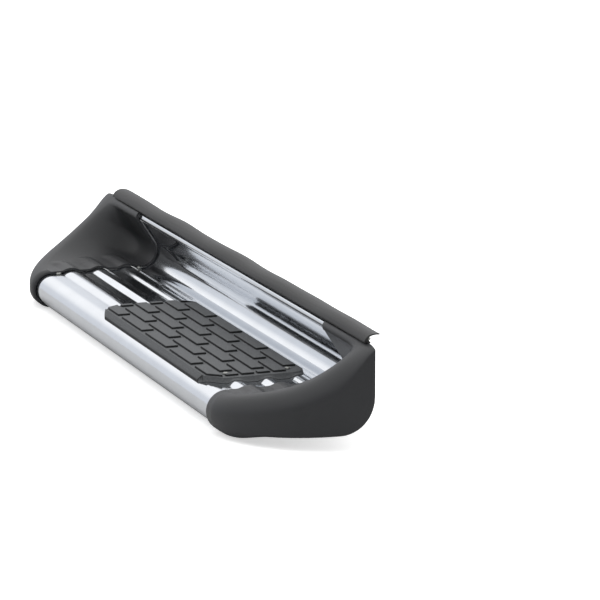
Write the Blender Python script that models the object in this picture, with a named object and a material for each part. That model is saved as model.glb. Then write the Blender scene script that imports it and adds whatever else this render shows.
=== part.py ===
"""Side step for a pickup truck: a folded stainless step body between two moulded end caps.

The frame: X runs along the step, Y points inboard to the vehicle, Z is up. The origin is
the middle of the bracket face, the flat underside of the support channel. Metres.
"""
import bmesh
import bpy
from math import cos, hypot, pi, radians, sin, sqrt

# Step body, a folded sheet seen in section from the nose to the top lip
SHEET = 0.0015            # stainless sheet thickness
HALF_STEEL = 0.340        # half the length of steel that shows between the caps
SHEET_LAP = 0.006         # how far the sheet runs on under each cap
NOSE_RADIUS = 0.020       # half-round front edge
NOSE_RETURN = 0.028       # flat return under the nose
TREAD_DEPTH = 0.123       # flat tread from the nose arc to the cove
COVE_RADIUS = 0.0215      # inside corner between tread and wall
WALL_LEAN = radians(32.7)  # the wall leans over the tread by this much
WALL_RUN = 0.0360         # straight part of the wall
CREASE_RADIUS = 0.0050    # soft crease under the lip
CREASE_TURN = radians(20)
LIP_RADIUS = 0.0032       # rolled top lip
LIP_FLANGE = 0.0135       # flat flange behind the lip, which carries the seal

# Tread ribs, pressed into the sheet
RIB_COUNT = 3
RIB_FRONT_MARGIN = 0.0286 # nose centre to the first rib
RIB_REAR_MARGIN = 0.0192  # last rib to the cove
RIB_HEIGHT = 0.0028
RIB_CREST = 0.0019        # half width of the flat crest
RIB_SLOPE = 0.0130        # width of each flank

# End caps, thin moulded shells
CAP_WALL = 0.0026
CAP_STANDOFF = 0.0034     # outer skin of the cap above the sheet it wraps
CAP_LENGTH = 0.146        # cap length beyond the visible steel
CAP_LAP = 0.008           # straight part of the cap that lies over the sheet
CAP_REAR_SETBACK = 0.0    # rear edge of the outer wall behind the end of the tread
CAP_PLAN_POWER = 1.76     # 2 would be an ellipse in plan
CAP_RISE = 0.0682         # climb of the rim from the nose to the rear corner
CAP_RISE_POWER = 1.46
CAP_RIM_RADIUS = 0.020    # rounding between outer wall and rim
CAP_RIM_REAR_RADIUS = 0.005
CAP_HEM_RADIUS = 0.004    # rounding at the bottom edge
CAP_HEM_LIFT = 0.0088     # bottom edge above the nose bottom, once past the nose
CAP_HEM_SLOPE = 0.08      # climb of the bottom edge per unit of depth
CAP_CORNER_RADIUS = 0.038  # rounded rear bottom corner
CAP_RIB_CLIMB = 0.0042    # the floor's ribs are gone where the bowl has climbed by this
LEDGE_DEPTH = 0.0135      # ledge behind the rim, which carries the seal
LEDGE_END_GAP = 0.006
TAB_WIDTH = 0.022         # locking tab behind the wall, measured up the wall
TAB_REACH = 0.014         # how far it lies over the back of the sheet
TAB_THICKNESS = 0.0024

# Step pad, one rubber moulding on the tread
PAD_LENGTH = 0.4015
PAD_END_GAP = 0.0445      # bare steel between the pad and the right cap
PAD_REAR_GAP = 0.010      # flat tread behind the pad
PAD_BASE = 0.0062         # base above the tread
BRICK_HEIGHT = 0.0024
BRICK_LENGTH = 0.0914     # running bond along the step
BRICK_FRONT_SET = 0.0017  # first row starts this far ahead of the nose centre
BRICK_ROWS = 6
BRICK_GROOVE = 0.0034      # gap between rows
BRICK_JOINT = 0.0120      # gap between the bricks of a row
BRICK_START = 0.0165      # first joint of the even rows, from the pad's left end
BRICK_DRAFT = 0.0006
BRICK_SINK = 0.0005
PAD_MARGIN = 0.0026       # base that shows round the bricks
PAD_END_MARGIN = 0.0080   # and at the right end
PAD_CORNER_RADIUS = 0.036
PAD_RIGHT_CORNER_RADIUS = 0.008
PAD_CHAMFER = 0.028
PAD_SKIRT_ANGLE = radians(28)  # how far the front border wraps round the nose
PAD_SCREW_INSET = 0.0155  # screw centres from the pad's right end
PAD_SCREW_FRONT = 0.0075  # screw centres ahead of the outer ribs
PAD_END_SLOPE = 0.0050    # the right end slopes down over this length
PAD_TRIM_SPARE = 0.010    # the moulding is cut from a blank this much longer

# Rocker seal, a rubber flap behind the lip
SEAL_END_SET = 0.016      # seal ends this far short of the cap ends
SEAL_THICKNESS = 0.0020
SEAL_SET_BACK = 0.0007    # front of the seal behind the cap rim
SEAL_FOOT = 0.0105
SEAL_HOLE_SET = 0.0063    # hole centre along the foot
SEAL_BEND = 0.0018
SEAL_LEAN = 0.0014        # the face leans this far forward, over the cap's tongue
SEAL_FACE = 0.0062        # height of the upright face
SEAL_REACH = 0.0072       # then it curls rearward by this
SEAL_RISE = 0.0061
SEAL_TAIL = 0.0125        # and droops towards its free edge
SEAL_WAVE = 0.0009
SEAL_WAVE_LENGTH = 0.230
SEAL_END_ROUND = 0.006
SEAL_NOTCH = 0.012        # the foot ends this far short of the seal's ends

# Support channels, short lipped channels under the tread
CHANNEL_SHEET = 0.0020
CHANNEL_WEB = 0.032       # width of the flat web
CHANNEL_LIP = 0.0080      # lips turned in under the tread
CHANNEL_LENGTH = 0.150     # three short channels, one for each vehicle bracket
CHANNEL_END_SET = 0.055    # outer channels end this far short of the visible steel's ends
SLOT_LENGTH = 0.030
SLOT_WIDTH = 0.009
SLOT_SET = 0.045           # slot centres from the middle of each channel

# Fasteners
FIT_GAP = 0.0003          # gap between touching pieces
SCREW_HEAD_RADIUS = 0.0034
SCREW_HEAD_HEIGHT = 0.0020
SHANK_RADIUS = 0.0020
HOLE_CLEARANCE = 0.0003
NUT_ACROSS = 0.0080
NUT_HEIGHT = 0.0036
NUT_FLANGE_RADIUS = 0.0058
SCREW_BELOW = 0.0125      # shank that stands out below the tread
CAP_SCREW_INSET = 0.0042  # screw centre from the cap edge
CAP_SCREW_FRONT_INSET = 0.0092  # front screws from the nose centre
CAP_SCREW_REAR_INSET = 0.0045   # rear screws from the cove
SEAL_SCREW_BELOW = 0.007
SEAL_SCREW_INSET = 0.028  # screw centre from the seal's end
STUD_INSETS = (0.030, 0.218)  # stud centres from the pad's left end
STUD_COVER = 0.0010       # rubber over a stud's end
CLIP_STATIONS = (-0.190, 0.020, 0.230)
CLIP_WIDTH = 0.012
CLIP_REACH = 0.0060
CLIP_SHEET = 0.0010

# Sizes that follow from those above
TREAD_Z = 2 * NOSE_RADIUS + CAP_STANDOFF
NOSE_CENTRE_Y = -(TREAD_DEPTH / 2 + 0.002)
NOSE_CENTRE_Z = TREAD_Z - NOSE_RADIUS
COVE_Y = NOSE_CENTRE_Y + TREAD_DEPTH
RIB_PITCH = (TREAD_DEPTH - RIB_FRONT_MARGIN - RIB_REAR_MARGIN) / (RIB_COUNT - 1)
RIBS = [NOSE_CENTRE_Y + RIB_FRONT_MARGIN + RIB_PITCH * i for i in range(RIB_COUNT)]
PAD_RIGHT = HALF_STEEL - PAD_END_GAP
PAD_LEFT = PAD_RIGHT - PAD_LENGTH
PAD_REAR = COVE_Y - PAD_REAR_GAP
BRICK_FRONT = NOSE_CENTRE_Y - BRICK_FRONT_SET
BRICK_WIDTH = (PAD_REAR - PAD_MARGIN / 2 + BRICK_GROOVE / 2 - BRICK_FRONT) / BRICK_ROWS
SEAL_HALF = HALF_STEEL + CAP_LENGTH - SEAL_END_SET
SEAL_SCREW_X = SEAL_HALF - SEAL_SCREW_INSET
CHANNEL_PITCH = HALF_STEEL - CHANNEL_END_SET - CHANNEL_LENGTH / 2
CAP_REAR_Y = COVE_Y + CAP_REAR_SETBACK
CAP_NOSE_Y = NOSE_CENTRE_Y - NOSE_RADIUS - CAP_STANDOFF
PAD_GAP_Z = TREAD_Z + FIT_GAP


def new_material(name, colour, roughness, metallic=0.0):
    """A plain Principled material."""
    material = bpy.data.materials.new(name)
    material.use_nodes = True
    shader = material.node_tree.nodes["Principled BSDF"]
    shader.inputs["Base Color"].default_value = (*colour, 1.0)
    shader.inputs["Roughness"].default_value = roughness
    shader.inputs["Metallic"].default_value = metallic
    material.diffuse_color = (*colour, 1.0)
    return material


def add_object(name, vertices, faces, material, smooth=30):
    """A mesh object whose faces point out, smooth apart from edges sharper than smooth degrees."""
    mesh = bpy.data.meshes.new(name)
    mesh.from_pydata(vertices, [], faces)
    shape = bmesh.new()
    shape.from_mesh(mesh)
    bmesh.ops.remove_doubles(shape, verts=shape.verts, dist=1e-6)
    bmesh.ops.dissolve_degenerate(shape, edges=shape.edges, dist=1e-7)
    bmesh.ops.recalc_face_normals(shape, faces=shape.faces)
    shape.to_mesh(mesh)
    shape.free()
    if smooth:
        mesh.shade_smooth()
        mesh.set_sharp_from_angle(angle=radians(smooth))
    thing = bpy.data.objects.new(name, mesh)
    bpy.context.scene.collection.objects.link(thing)
    if material:
        mesh.materials.append(material)
    return thing


def cut(target, cutters, operation="DIFFERENCE", solver="EXACT"):
    """Boolean modifiers from target to each cutter; the cutters stay as wire guides."""
    for cutter in cutters:
        cutter.hide_render = True
        cutter.display_type = "WIRE"
        modifier = target.modifiers.new(operation.title(), "BOOLEAN")
        modifier.operation = operation
        modifier.object = cutter
        modifier.solver = solver


def extruded(loop, x_from, x_to):
    """Vertices and faces of a closed (y, z) loop carried along X, with flat ends."""
    count = len(loop)
    vertices = [(x, y, z) for x in (x_from, x_to) for y, z in loop]
    faces = [(i, (i + 1) % count, (i + 1) % count + count, i + count) for i in range(count)]
    faces.append(tuple(range(count)))
    faces.append(tuple(range(count, 2 * count)))
    return vertices, faces


def extruded_sheet(front, back, x_from, x_to):
    """A sheet between two matching open (y, z) paths, carried along X."""
    count = len(front)
    vertices = [(x, y, z) for x in (x_from, x_to) for y, z in front + back]
    size = 2 * count
    faces = []
    for i in range(count - 1):
        faces.append((i, i + 1, i + 1 + size, i + size))
        faces.append((count + i, count + i + 1, count + i + 1 + size, count + i + size))
        faces.append((i, i + 1, count + i + 1, count + i))
        faces.append((i + size, i + 1 + size, count + i + 1 + size, count + i + size))
    for i in (0, count - 1):
        faces.append((i, count + i, count + i + size, i + size))
    return vertices, faces


def prism(outline, z_from, z_to, draft=0.0):
    """A vertical prism of a convex plan outline; the top is drawn in by draft."""
    count = len(outline)
    top = inset_outline(outline, draft) if draft else outline
    vertices = [(x, y, z_from) for x, y in outline] + [(x, y, z_to) for x, y in top]
    faces = [(i, (i + 1) % count, (i + 1) % count + count, i + count) for i in range(count)]
    faces.append(tuple(range(count)))
    faces.append(tuple(range(count, 2 * count)))
    return vertices, faces


def turned(profile, centre, sides=20):
    """A solid of revolution about a vertical axis from (radius, z) pairs that start and end on it."""
    vertices = []
    faces = []
    rings = []
    for radius, z in profile:
        if radius == 0.0:
            rings.append([len(vertices)])
            vertices.append((centre[0], centre[1], z))
            continue
        rings.append(list(range(len(vertices), len(vertices) + sides)))
        for i in range(sides):
            angle = 2 * pi * i / sides
            vertices.append((centre[0] + radius * cos(angle), centre[1] + radius * sin(angle), z))
    for lower, upper in zip(rings, rings[1:]):
        for i in range(sides):
            j = (i + 1) % sides
            corners = [lower[i % len(lower)], lower[j % len(lower)],
                       upper[j % len(upper)], upper[i % len(upper)]]
            faces.append(tuple(dict.fromkeys(corners)))
    return vertices, faces


def cylinder(name, centre, radius, z_from, z_to, sides=16):
    """A vertical round cutter."""
    profile = [(0.0, z_from), (radius, z_from), (radius, z_to), (0.0, z_to)]
    return add_object(name, *turned(profile, centre, sides), None, smooth=0)


def clip_convex(outline, window):
    """The part of a convex outline inside a convex window, both counter-clockwise."""
    result = outline
    for (ax, ay), (bx, by) in zip(window, window[1:] + window[:1]):
        def side(point):
            return (bx - ax) * (point[1] - ay) - (by - ay) * (point[0] - ax)
        kept = []
        for start, end in zip(result, result[1:] + result[:1]):
            s, e = side(start), side(end)
            if s >= 0:
                kept.append(start)
            if s * e < 0:
                t = s / (s - e)
                kept.append((start[0] + t * (end[0] - start[0]), start[1] + t * (end[1] - start[1])))
        result = kept
        if len(result) < 3:
            return []
    return result


def inset_outline(outline, distance):
    """A convex counter-clockwise outline with every edge moved inwards by distance."""
    lines = []
    for (ax, ay), (bx, by) in zip(outline, outline[1:] + outline[:1]):
        length = hypot(bx - ax, by - ay)
        nx, ny = -(by - ay) / length, (bx - ax) / length
        lines.append((nx, ny, nx * ax + ny * ay + distance))
    result = []
    for (a, b, c), (d, e, f) in zip(lines[-1:] + lines[:-1], lines):
        det = a * e - b * d
        result.append(((c * e - b * f) / det, (a * f - c * d) / det))
    return result


def arc(centre_y, centre_z, radius, start, end, steps):
    """Points and outward normals on an arc, as (y, z, ny, nz), without the first point."""
    turn = 1 if radius > 0 else -1
    points = []
    for i in range(1, steps + 1):
        angle = start + (end - start) * i / steps
        points.append((centre_y + abs(radius) * cos(angle), centre_z + abs(radius) * sin(angle),
                       turn * cos(angle), turn * sin(angle)))
    return points


def smoothstep(value):
    """0 below 0, 1 above 1 and a smooth climb between."""
    t = min(max(value, 0.0), 1.0)
    return t * t * (3 - 2 * t)


def rib_height(y):
    """Height of the pressed ribs above the flat tread at depth y."""
    nearest = min(abs(y - rib) for rib in RIBS)
    t = min(max((nearest - RIB_CREST) / RIB_SLOPE, 0.0), 1.0)
    return RIB_HEIGHT * (0.5 + 0.5 * cos(pi * t))


def nut_lift(y):
    """How far a nut under the sheet rises into a rib before its flange meets the sheet."""
    return min(rib_height(y + NUT_FLANGE_RADIUS * part) for part in (-1.0, -0.5, 0.0, 0.5, 1.0))


def head_lift(y):
    """How far a screw head on the sheet is held up by a rib's flank."""
    return max(rib_height(y + SCREW_HEAD_RADIUS * part) for part in (-1.0, -0.5, 0.0, 0.5, 1.0))


def tread_stations():
    """Depths along the tread that follow the ribs, from the nose arc to the cove."""
    flank = [RIB_CREST + RIB_SLOPE * part for part in (0.0, 0.32, 0.64, 1.0)]
    stations = [(NOSE_CENTRE_Y + RIBS[0] - flank[-1]) / 2]
    for rib in RIBS:
        stations += [rib - offset for offset in reversed(flank)] + [rib + offset for offset in flank]
    return stations + [(COVE_Y + RIBS[-1] + flank[-1]) / 2]


def step_profile():
    """The visible side of the step in section: (y, z, ny, nz) from the nose return to the lip flange.

    The ribs aren't in it: rib_height adds them to the flat tread.
    """
    points = [(NOSE_CENTRE_Y + NOSE_RETURN, TREAD_Z - 2 * NOSE_RADIUS, 0.0, -1.0),
              (NOSE_CENTRE_Y, TREAD_Z - 2 * NOSE_RADIUS, 0.0, -1.0)]
    points += arc(NOSE_CENTRE_Y, NOSE_CENTRE_Z, NOSE_RADIUS, -pi / 2, -3 * pi / 2, 14)
    points += [(y, TREAD_Z, 0.0, 1.0) for y in tread_stations()]
    points.append((COVE_Y, TREAD_Z, 0.0, 1.0))
    points += arc(COVE_Y, TREAD_Z + COVE_RADIUS, -COVE_RADIUS, -pi / 2, WALL_LEAN, 8)
    y, z, ny, nz = points[-1]
    along = (-sin(WALL_LEAN), cos(WALL_LEAN))
    for part in (1 / 3, 2 / 3, 1.0):
        points.append((points[-1][0] + along[0] * WALL_RUN / 3,
                       points[-1][1] + along[1] * WALL_RUN / 3, ny, nz))
    y, z = points[-1][:2]
    centre = (y + ny * CREASE_RADIUS, z + nz * CREASE_RADIUS)
    points += arc(*centre, -CREASE_RADIUS, WALL_LEAN, WALL_LEAN + CREASE_TURN, 2)
    y, z, ny, nz = points[-1]
    centre = (y - ny * LIP_RADIUS, z - nz * LIP_RADIUS)
    points += arc(*centre, LIP_RADIUS, WALL_LEAN + CREASE_TURN + pi, pi / 2, 6)
    y, z = points[-1][:2]
    points.append((y + LIP_FLANGE, z, 0.0, 1.0))
    return points


PROFILE = step_profile()
LIP_TOP_Y, LIP_TOP_Z = PROFILE[-2][:2]
LIP_BACK_Y = PROFILE[-1][0]


def offset_path(points, distance):
    """The profile moved along its normals, with the ribs added to the flat tread."""
    path = []
    for y, z, ny, nz in points:
        on_tread = nz == 1.0 and NOSE_CENTRE_Y <= y <= COVE_Y
        lift = rib_height(y) if on_tread else 0.0
        path.append((y + ny * distance, z + nz * distance + lift))
    return path


def make_step_body(material):
    """The folded stainless body: nose, ribbed tread, cove, wall, lip and flange in one sheet."""
    front = offset_path(PROFILE, 0.0)
    back = offset_path(PROFILE, -SHEET)
    half = HALF_STEEL + SHEET_LAP
    body = add_object("step_body", *extruded_sheet(front, back, -half, half), material)
    radius = SHANK_RADIUS + HOLE_CLEARANCE
    low, high = TREAD_Z - 3 * SHEET, TREAD_Z + RIB_HEIGHT + 2 * SHEET
    places = cap_screw_places() + pad_screw_places() + pad_stud_places()
    cut(body, [cylinder(f"body_hole_{i}", place, radius, low, high) for i, place in enumerate(places)])
    return body


def cap_screw_places():
    """Centres of the four screws beside the cap edges."""
    x = HALF_STEEL - CAP_SCREW_INSET
    front = NOSE_CENTRE_Y + CAP_SCREW_FRONT_INSET
    return [(side * x, y) for side in (-1, 1) for y in (front, COVE_Y - CAP_SCREW_REAR_INSET)]


def pad_screw_places():
    """Centres of the two screws at the right end of the pad, just ahead of the outer ribs."""
    return [(PAD_RIGHT - PAD_SCREW_INSET, rib - PAD_SCREW_FRONT) for rib in (RIBS[0], RIBS[-1])]


def pad_stud_places():
    """Centres of the studs moulded under the pad, on the outer ribs."""
    return [(PAD_LEFT + inset, rib) for inset in STUD_INSETS for rib in (RIBS[0], RIBS[-1])]


def cap_plan(angle):
    """Outer wall of a cap in plan at a sweep angle: point and inward unit normal."""
    power = 2 / CAP_PLAN_POWER
    length, depth = CAP_LENGTH - CAP_LAP, CAP_REAR_Y - CAP_NOSE_Y
    s, c = max(sin(angle), 0.0), max(cos(angle), 0.0)
    point = (HALF_STEEL + CAP_LAP + length * s ** power, CAP_REAR_Y - depth * c ** power)
    slope = power * (CAP_PLAN_POWER - 1)
    nx, ny = -(s ** slope) / length, (c ** slope) / depth
    size = hypot(nx, ny)
    return point, (nx / size, ny / size)


def cap_heights(y):
    """Rim crest and bottom edge of the outer wall at depth y."""
    share = min(max((y - CAP_NOSE_Y) / (CAP_REAR_Y - CAP_NOSE_Y), 0.0), 1.0)
    crest = TREAD_Z + CAP_STANDOFF + CAP_RISE * share ** CAP_RISE_POWER
    bottom = CAP_HEM_LIFT * smoothstep((y - CAP_NOSE_Y) / (2 * NOSE_RADIUS))
    bottom += CAP_HEM_SLOPE * (y - CAP_NOSE_Y)
    corner_start = CAP_REAR_Y - CAP_CORNER_RADIUS
    if y > corner_start:
        along = min(y - corner_start, CAP_CORNER_RADIUS)
        bottom += CAP_CORNER_RADIUS - sqrt(CAP_CORNER_RADIUS ** 2 - along ** 2)
    return crest, bottom


def cap_radii(angle):
    """Rim and bottom rounding at a sweep angle: both match the nose wrap at the start."""
    nose = NOSE_RADIUS + CAP_STANDOFF
    share = smoothstep(angle / radians(40))
    rear = smoothstep((angle - radians(72)) / radians(18))
    rim = nose + (CAP_RIM_RADIUS - nose) * share
    rim += (CAP_RIM_REAR_RADIUS - CAP_RIM_RADIUS) * rear
    hem = nose + (CAP_HEM_RADIUS - nose) * share
    return rim, hem


def cap_outer_section(angle, straight_x=None):
    """Outer wall of a cap at a sweep angle, from the bottom edge over the rim to its crest."""
    point, inward = cap_plan(angle)
    if straight_x is not None:
        point = (straight_x, point[1])
    crest, bottom = cap_heights(point[1])
    rim, hem = cap_radii(angle)
    section = []
    for i in range(4):
        turn = -pi / 2 + pi / 2 * i / 3
        reach = hem * (1 - cos(turn))
        section.append((point[0] + inward[0] * reach, point[1] + inward[1] * reach,
                        bottom + hem * (1 + sin(turn))))
    for i in range(6):
        turn = pi / 2 * i / 5
        reach = rim * (1 - cos(turn))
        section.append((point[0] + inward[0] * reach, point[1] + inward[1] * reach,
                        crest - rim * (1 - sin(turn))))
    return section


def facing(y, z):
    """Position across the cap seen from the front and above, used to pair rim and section points."""
    return 0.432 * y + 0.902 * z


def cap_rows():
    """Pairs of a sweep angle and the point of the step section that its bowl line runs to."""
    skin = [(y + ny * CAP_STANDOFF, z + nz * CAP_STANDOFF) for y, z, ny, nz in PROFILE[:-1]]
    skin.append((CAP_REAR_Y, LIP_TOP_Z + CAP_STANDOFF))
    stations = skin[15:]
    base, full = facing(*stations[0]), facing(*stations[-1])
    rim_base = facing(*cap_outer_section(0.0)[-1][1:])
    rim_full = facing(*cap_outer_section(pi / 2)[-1][1:])
    rows = []
    for y, z in stations:
        wanted = rim_base + (rim_full - rim_base) * (facing(y, z) - base) / (full - base)
        low, high = 0.0, pi / 2
        for _ in range(40):
            middle = (low + high) / 2
            if facing(*cap_outer_section(middle)[-1][1:]) < wanted:
                low = middle
            else:
                high = middle
        rows.append(((low + high) / 2, (y, z)))
    return rows


def bowl_share(part):
    """How far a bowl line has climbed to the rim: level at both ends and steepest near the rim."""
    t = min(max(part, 0.0), 1.0)
    return t ** 4 * (5 - 4 * t)


def bowl_line(crest, foot, columns=9):
    """Points from the rim crest down the bowl to the cap edge on the step section."""
    line = []
    start = HALF_STEEL + CAP_LAP
    for i in range(1, columns + 1):
        part = 1 - i / (columns - 1)
        x = start + (crest[0] - start) * part
        if i == columns:
            part, x = 0.0, HALF_STEEL
        share = bowl_share(part)
        y = foot[0] + (crest[1] - foot[0]) * share
        if crest[2] < foot[1]:
            share = smoothstep(2 * part)
        climb = (crest[2] - foot[1]) * share
        z = foot[1] + climb
        if abs(foot[1] - TREAD_Z - CAP_STANDOFF) < 1e-6:
            z += rib_height(foot[0]) * (1 - smoothstep(climb / CAP_RIB_CLIMB))
        line.append((x, y, z))
    return line


def wall_point(run, lift):
    """A (y, z) point a run up the wall from the cove, and lifted off its front face."""
    y = COVE_Y + (COVE_RADIUS - lift) * cos(WALL_LEAN) - run * sin(WALL_LEAN)
    z = TREAD_Z + COVE_RADIUS + (COVE_RADIUS - lift) * sin(WALL_LEAN) + run * cos(WALL_LEAN)
    return y, z


def cap_tab():
    """The locking tab that hooks over the back of the wall, as one bent prism."""
    middle = WALL_RUN * 0.55
    root = HALF_STEEL + SHEET_LAP
    behind = -SHEET - FIT_GAP
    outline = [(root - TAB_REACH, behind - TAB_THICKNESS), (root + 0.006, behind - TAB_THICKNESS),
               (root + 0.006, CAP_STANDOFF - CAP_WALL / 2), (root + 2 * FIT_GAP, CAP_STANDOFF - CAP_WALL / 2),
               (root + 2 * FIT_GAP, behind), (root - TAB_REACH, behind)]
    vertices = []
    for run in (middle - TAB_WIDTH / 2, middle + TAB_WIDTH / 2):
        vertices += [(x, *wall_point(run, lift)) for x, lift in outline]
    count = len(outline)
    faces = [(i, (i + 1) % count, (i + 1) % count + count, i + count) for i in range(count)]
    faces.append(tuple(range(count)))
    faces.append(tuple(range(count, 2 * count)))
    return vertices, faces


def cap_ledge():
    """The ledge behind the rim, level with the lip flange, and the upstand that joins it to the rim."""
    top, back = LIP_TOP_Z, LIP_TOP_Y + LEDGE_DEPTH
    face = CAP_REAR_Y
    corner = cap_outer_section(pi / 2)[-1]
    start = HALF_STEEL + SHEET_LAP + LEDGE_END_GAP
    share = (start - HALF_STEEL) / (corner[0] - HALF_STEEL)
    rise_start = LIP_TOP_Z + CAP_STANDOFF + (corner[2] - LIP_TOP_Z - CAP_STANDOFF) * share - CAP_WALL / 2
    loops = []
    for x, rise in ((start, rise_start), (corner[0], corner[2] - CAP_WALL / 2)):
        loops += [(x, face - CAP_WALL, top - CAP_WALL), (x, back, top - CAP_WALL),
                  (x, back, top), (x, face, top),
                  (x, face, rise), (x, face - CAP_WALL, rise)]
    faces = [(i, (i + 1) % 6, (i + 1) % 6 + 6, i + 6) for i in range(6)]
    return loops, faces + [tuple(range(6)), tuple(range(6, 12))]


def mirrored(vertices, side):
    """Vertices on the right for side 1 and mirrored to the left for side -1."""
    return [(side * x, y, z) for x, y, z in vertices]


def make_cap(name, side, material):
    """One end cap: outer wall, rounded rim and concave bowl in one thin shell."""
    rows = cap_rows()
    grid = []
    nose = cap_outer_section(0.0, HALF_STEEL)
    grid.append(nose + [nose[-1]] * 9)
    for index, (angle, foot) in enumerate(rows):
        section = cap_outer_section(angle)
        if index == 0:
            foot = (nose[-1][1], nose[-1][2])
        grid.append(section + bowl_line(section[-1], foot))
    width = len(grid[0])
    vertices = mirrored([point for row in grid for point in row], side)
    faces = []
    for i in range(len(grid) - 1):
        for j in range(width - 1):
            corner = i * width + j
            quad = (corner, corner + 1, corner + 1 + width, corner + width)
            faces.append(quad if side < 0 else quad[::-1])
    shell = open_surface(name, vertices, faces, material)
    solidify = shell.modifiers.new("Wall", "SOLIDIFY")
    solidify.thickness = CAP_WALL
    solidify.offset = -1.0
    ledge_vertices, ledge_faces = cap_ledge()
    tab_vertices, tab_faces = cap_tab()
    ledge = add_object(name + "_ledge", mirrored(ledge_vertices, side), ledge_faces, None, smooth=0)
    tab = add_object(name + "_tab", mirrored(tab_vertices, side), tab_faces, None, smooth=0)
    cut(shell, [ledge, tab], "UNION")
    hole = cylinder(name + "_seal_hole", (side * SEAL_SCREW_X, seal_foot_y()), SHANK_RADIUS + HOLE_CLEARANCE,
                    LIP_TOP_Z - 3 * CAP_WALL, LIP_TOP_Z + 3 * CAP_WALL)
    cut(shell, [hole])
    return shell


def open_surface(name, vertices, faces, material):
    """A smooth open surface with faces kept as they are wound."""
    mesh = bpy.data.meshes.new(name)
    mesh.from_pydata(vertices, [], faces)
    shape = bmesh.new()
    shape.from_mesh(mesh)
    bmesh.ops.remove_doubles(shape, verts=shape.verts, dist=2e-5)
    bmesh.ops.dissolve_degenerate(shape, edges=shape.edges, dist=1e-6)
    shape.to_mesh(mesh)
    shape.free()
    mesh.shade_smooth()
    mesh.set_sharp_from_angle(angle=radians(40))
    thing = bpy.data.objects.new(name, mesh)
    bpy.context.scene.collection.objects.link(thing)
    if material:
        mesh.materials.append(material)
    return thing


def corner_arc(centre, radius, start, end, steps=7):
    """Plan points round a corner, angles in degrees."""
    return [(centre[0] + radius * cos(radians(start + (end - start) * i / steps)),
             centre[1] + radius * sin(radians(start + (end - start) * i / steps))) for i in range(steps + 1)]


def pad_outline(front):
    """The pad in plan, counter-clockwise: rounded left corners and a chamfer at the right front."""
    r, q = PAD_CORNER_RADIUS, PAD_RIGHT_CORNER_RADIUS
    points = [(PAD_RIGHT - PAD_CHAMFER, front), (PAD_RIGHT, front + PAD_CHAMFER)]
    points += corner_arc((PAD_RIGHT - q, PAD_REAR - q), q, 0, 90, 3)
    points += corner_arc((PAD_LEFT + r, PAD_REAR - r), r, 90, 180)
    points += corner_arc((PAD_LEFT + r, front + r), r, 180, 270)
    return points


def pad_section():
    """The pad in section: level base, sloped front border, and an underside that follows the sheet."""
    under = [(y, z) for y, z in offset_path(PROFILE[2:], FIT_GAP)]
    skirt_end = pi / 2 + PAD_SKIRT_ANGLE
    wrap = [(NOSE_CENTRE_Y + (NOSE_RADIUS + FIT_GAP) * cos(a),
             NOSE_CENTRE_Z + (NOSE_RADIUS + FIT_GAP) * sin(a))
            for a in (skirt_end - PAD_SKIRT_ANGLE * i / 4 for i in range(5))]
    floor = [(y, z) for y, z in under
             if NOSE_CENTRE_Y + 1e-4 < y < PAD_REAR - 1e-4 and z < PAD_GAP_Z + 2 * RIB_HEIGHT]
    rear = [(PAD_REAR, PAD_GAP_Z + rib_height(PAD_REAR)), (PAD_REAR, TREAD_Z + PAD_BASE)]
    border_top = BRICK_FRONT - BRICK_GROOVE
    nose_edge = wrap[0]
    front = [(border_top, TREAD_Z + PAD_BASE), (border_top - 0.0006, TREAD_Z + PAD_BASE + 0.0010),
             (border_top - 0.0034, TREAD_Z + PAD_BASE + 0.0006),
             (border_top - 0.0046, TREAD_Z + PAD_BASE - 0.0012),
             (nose_edge[0] - 0.0014, nose_edge[1] + 0.0020), (nose_edge[0] - 0.0012, nose_edge[1] + 0.0004)]
    return wrap + floor + rear + front


def pad_trim(outline, base):
    """A block with the pad's plan at its top, whose right end leans out to the tread."""
    slope = PAD_END_SLOPE / PAD_BASE
    levels = ((base + PAD_BASE, 0.0), (base, 0.0),
              (TREAD_Z - NOSE_RADIUS, PAD_END_SLOPE + NOSE_RADIUS * slope))
    count = len(outline)
    vertices = []
    for z, reach in levels:
        for x, y in outline:
            share = min(max((x - PAD_RIGHT + PAD_CHAMFER) / PAD_CHAMFER, 0.0), 1.0)
            vertices.append((x + reach * share, y, z))
    faces = [(i + level * count, (i + 1) % count + level * count, (i + 1) % count + (level + 1) * count,
              i + (level + 1) * count) for level in (0, 1) for i in range(count)]
    faces.append(tuple(range(count)))
    faces.append(tuple(range(2 * count, 3 * count)))
    return vertices, faces


def brick_outlines(window):
    """Plan outlines of the raised bricks in running bond, clipped to the pad."""
    outlines = []
    for row in range(BRICK_ROWS):
        low = BRICK_FRONT + row * BRICK_WIDTH
        high = low + BRICK_WIDTH - BRICK_GROOVE
        start = PAD_LEFT + BRICK_START + (0.0 if row % 2 else BRICK_LENGTH / 2) - BRICK_LENGTH
        for step in range(int(PAD_LENGTH / BRICK_LENGTH) + 3):
            left = start + step * BRICK_LENGTH + BRICK_JOINT / 2
            right = min(left + BRICK_LENGTH - BRICK_JOINT, PAD_RIGHT - PAD_END_MARGIN)
            if right < left + BRICK_JOINT:
                continue
            corners = clip_convex([(left, low), (right, low), (right, high), (left, high)], window)
            if corners and max(x for x, _ in corners) - min(x for x, _ in corners) > 2 * BRICK_GROOVE:
                outlines.append(corners)
    return outlines


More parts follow.
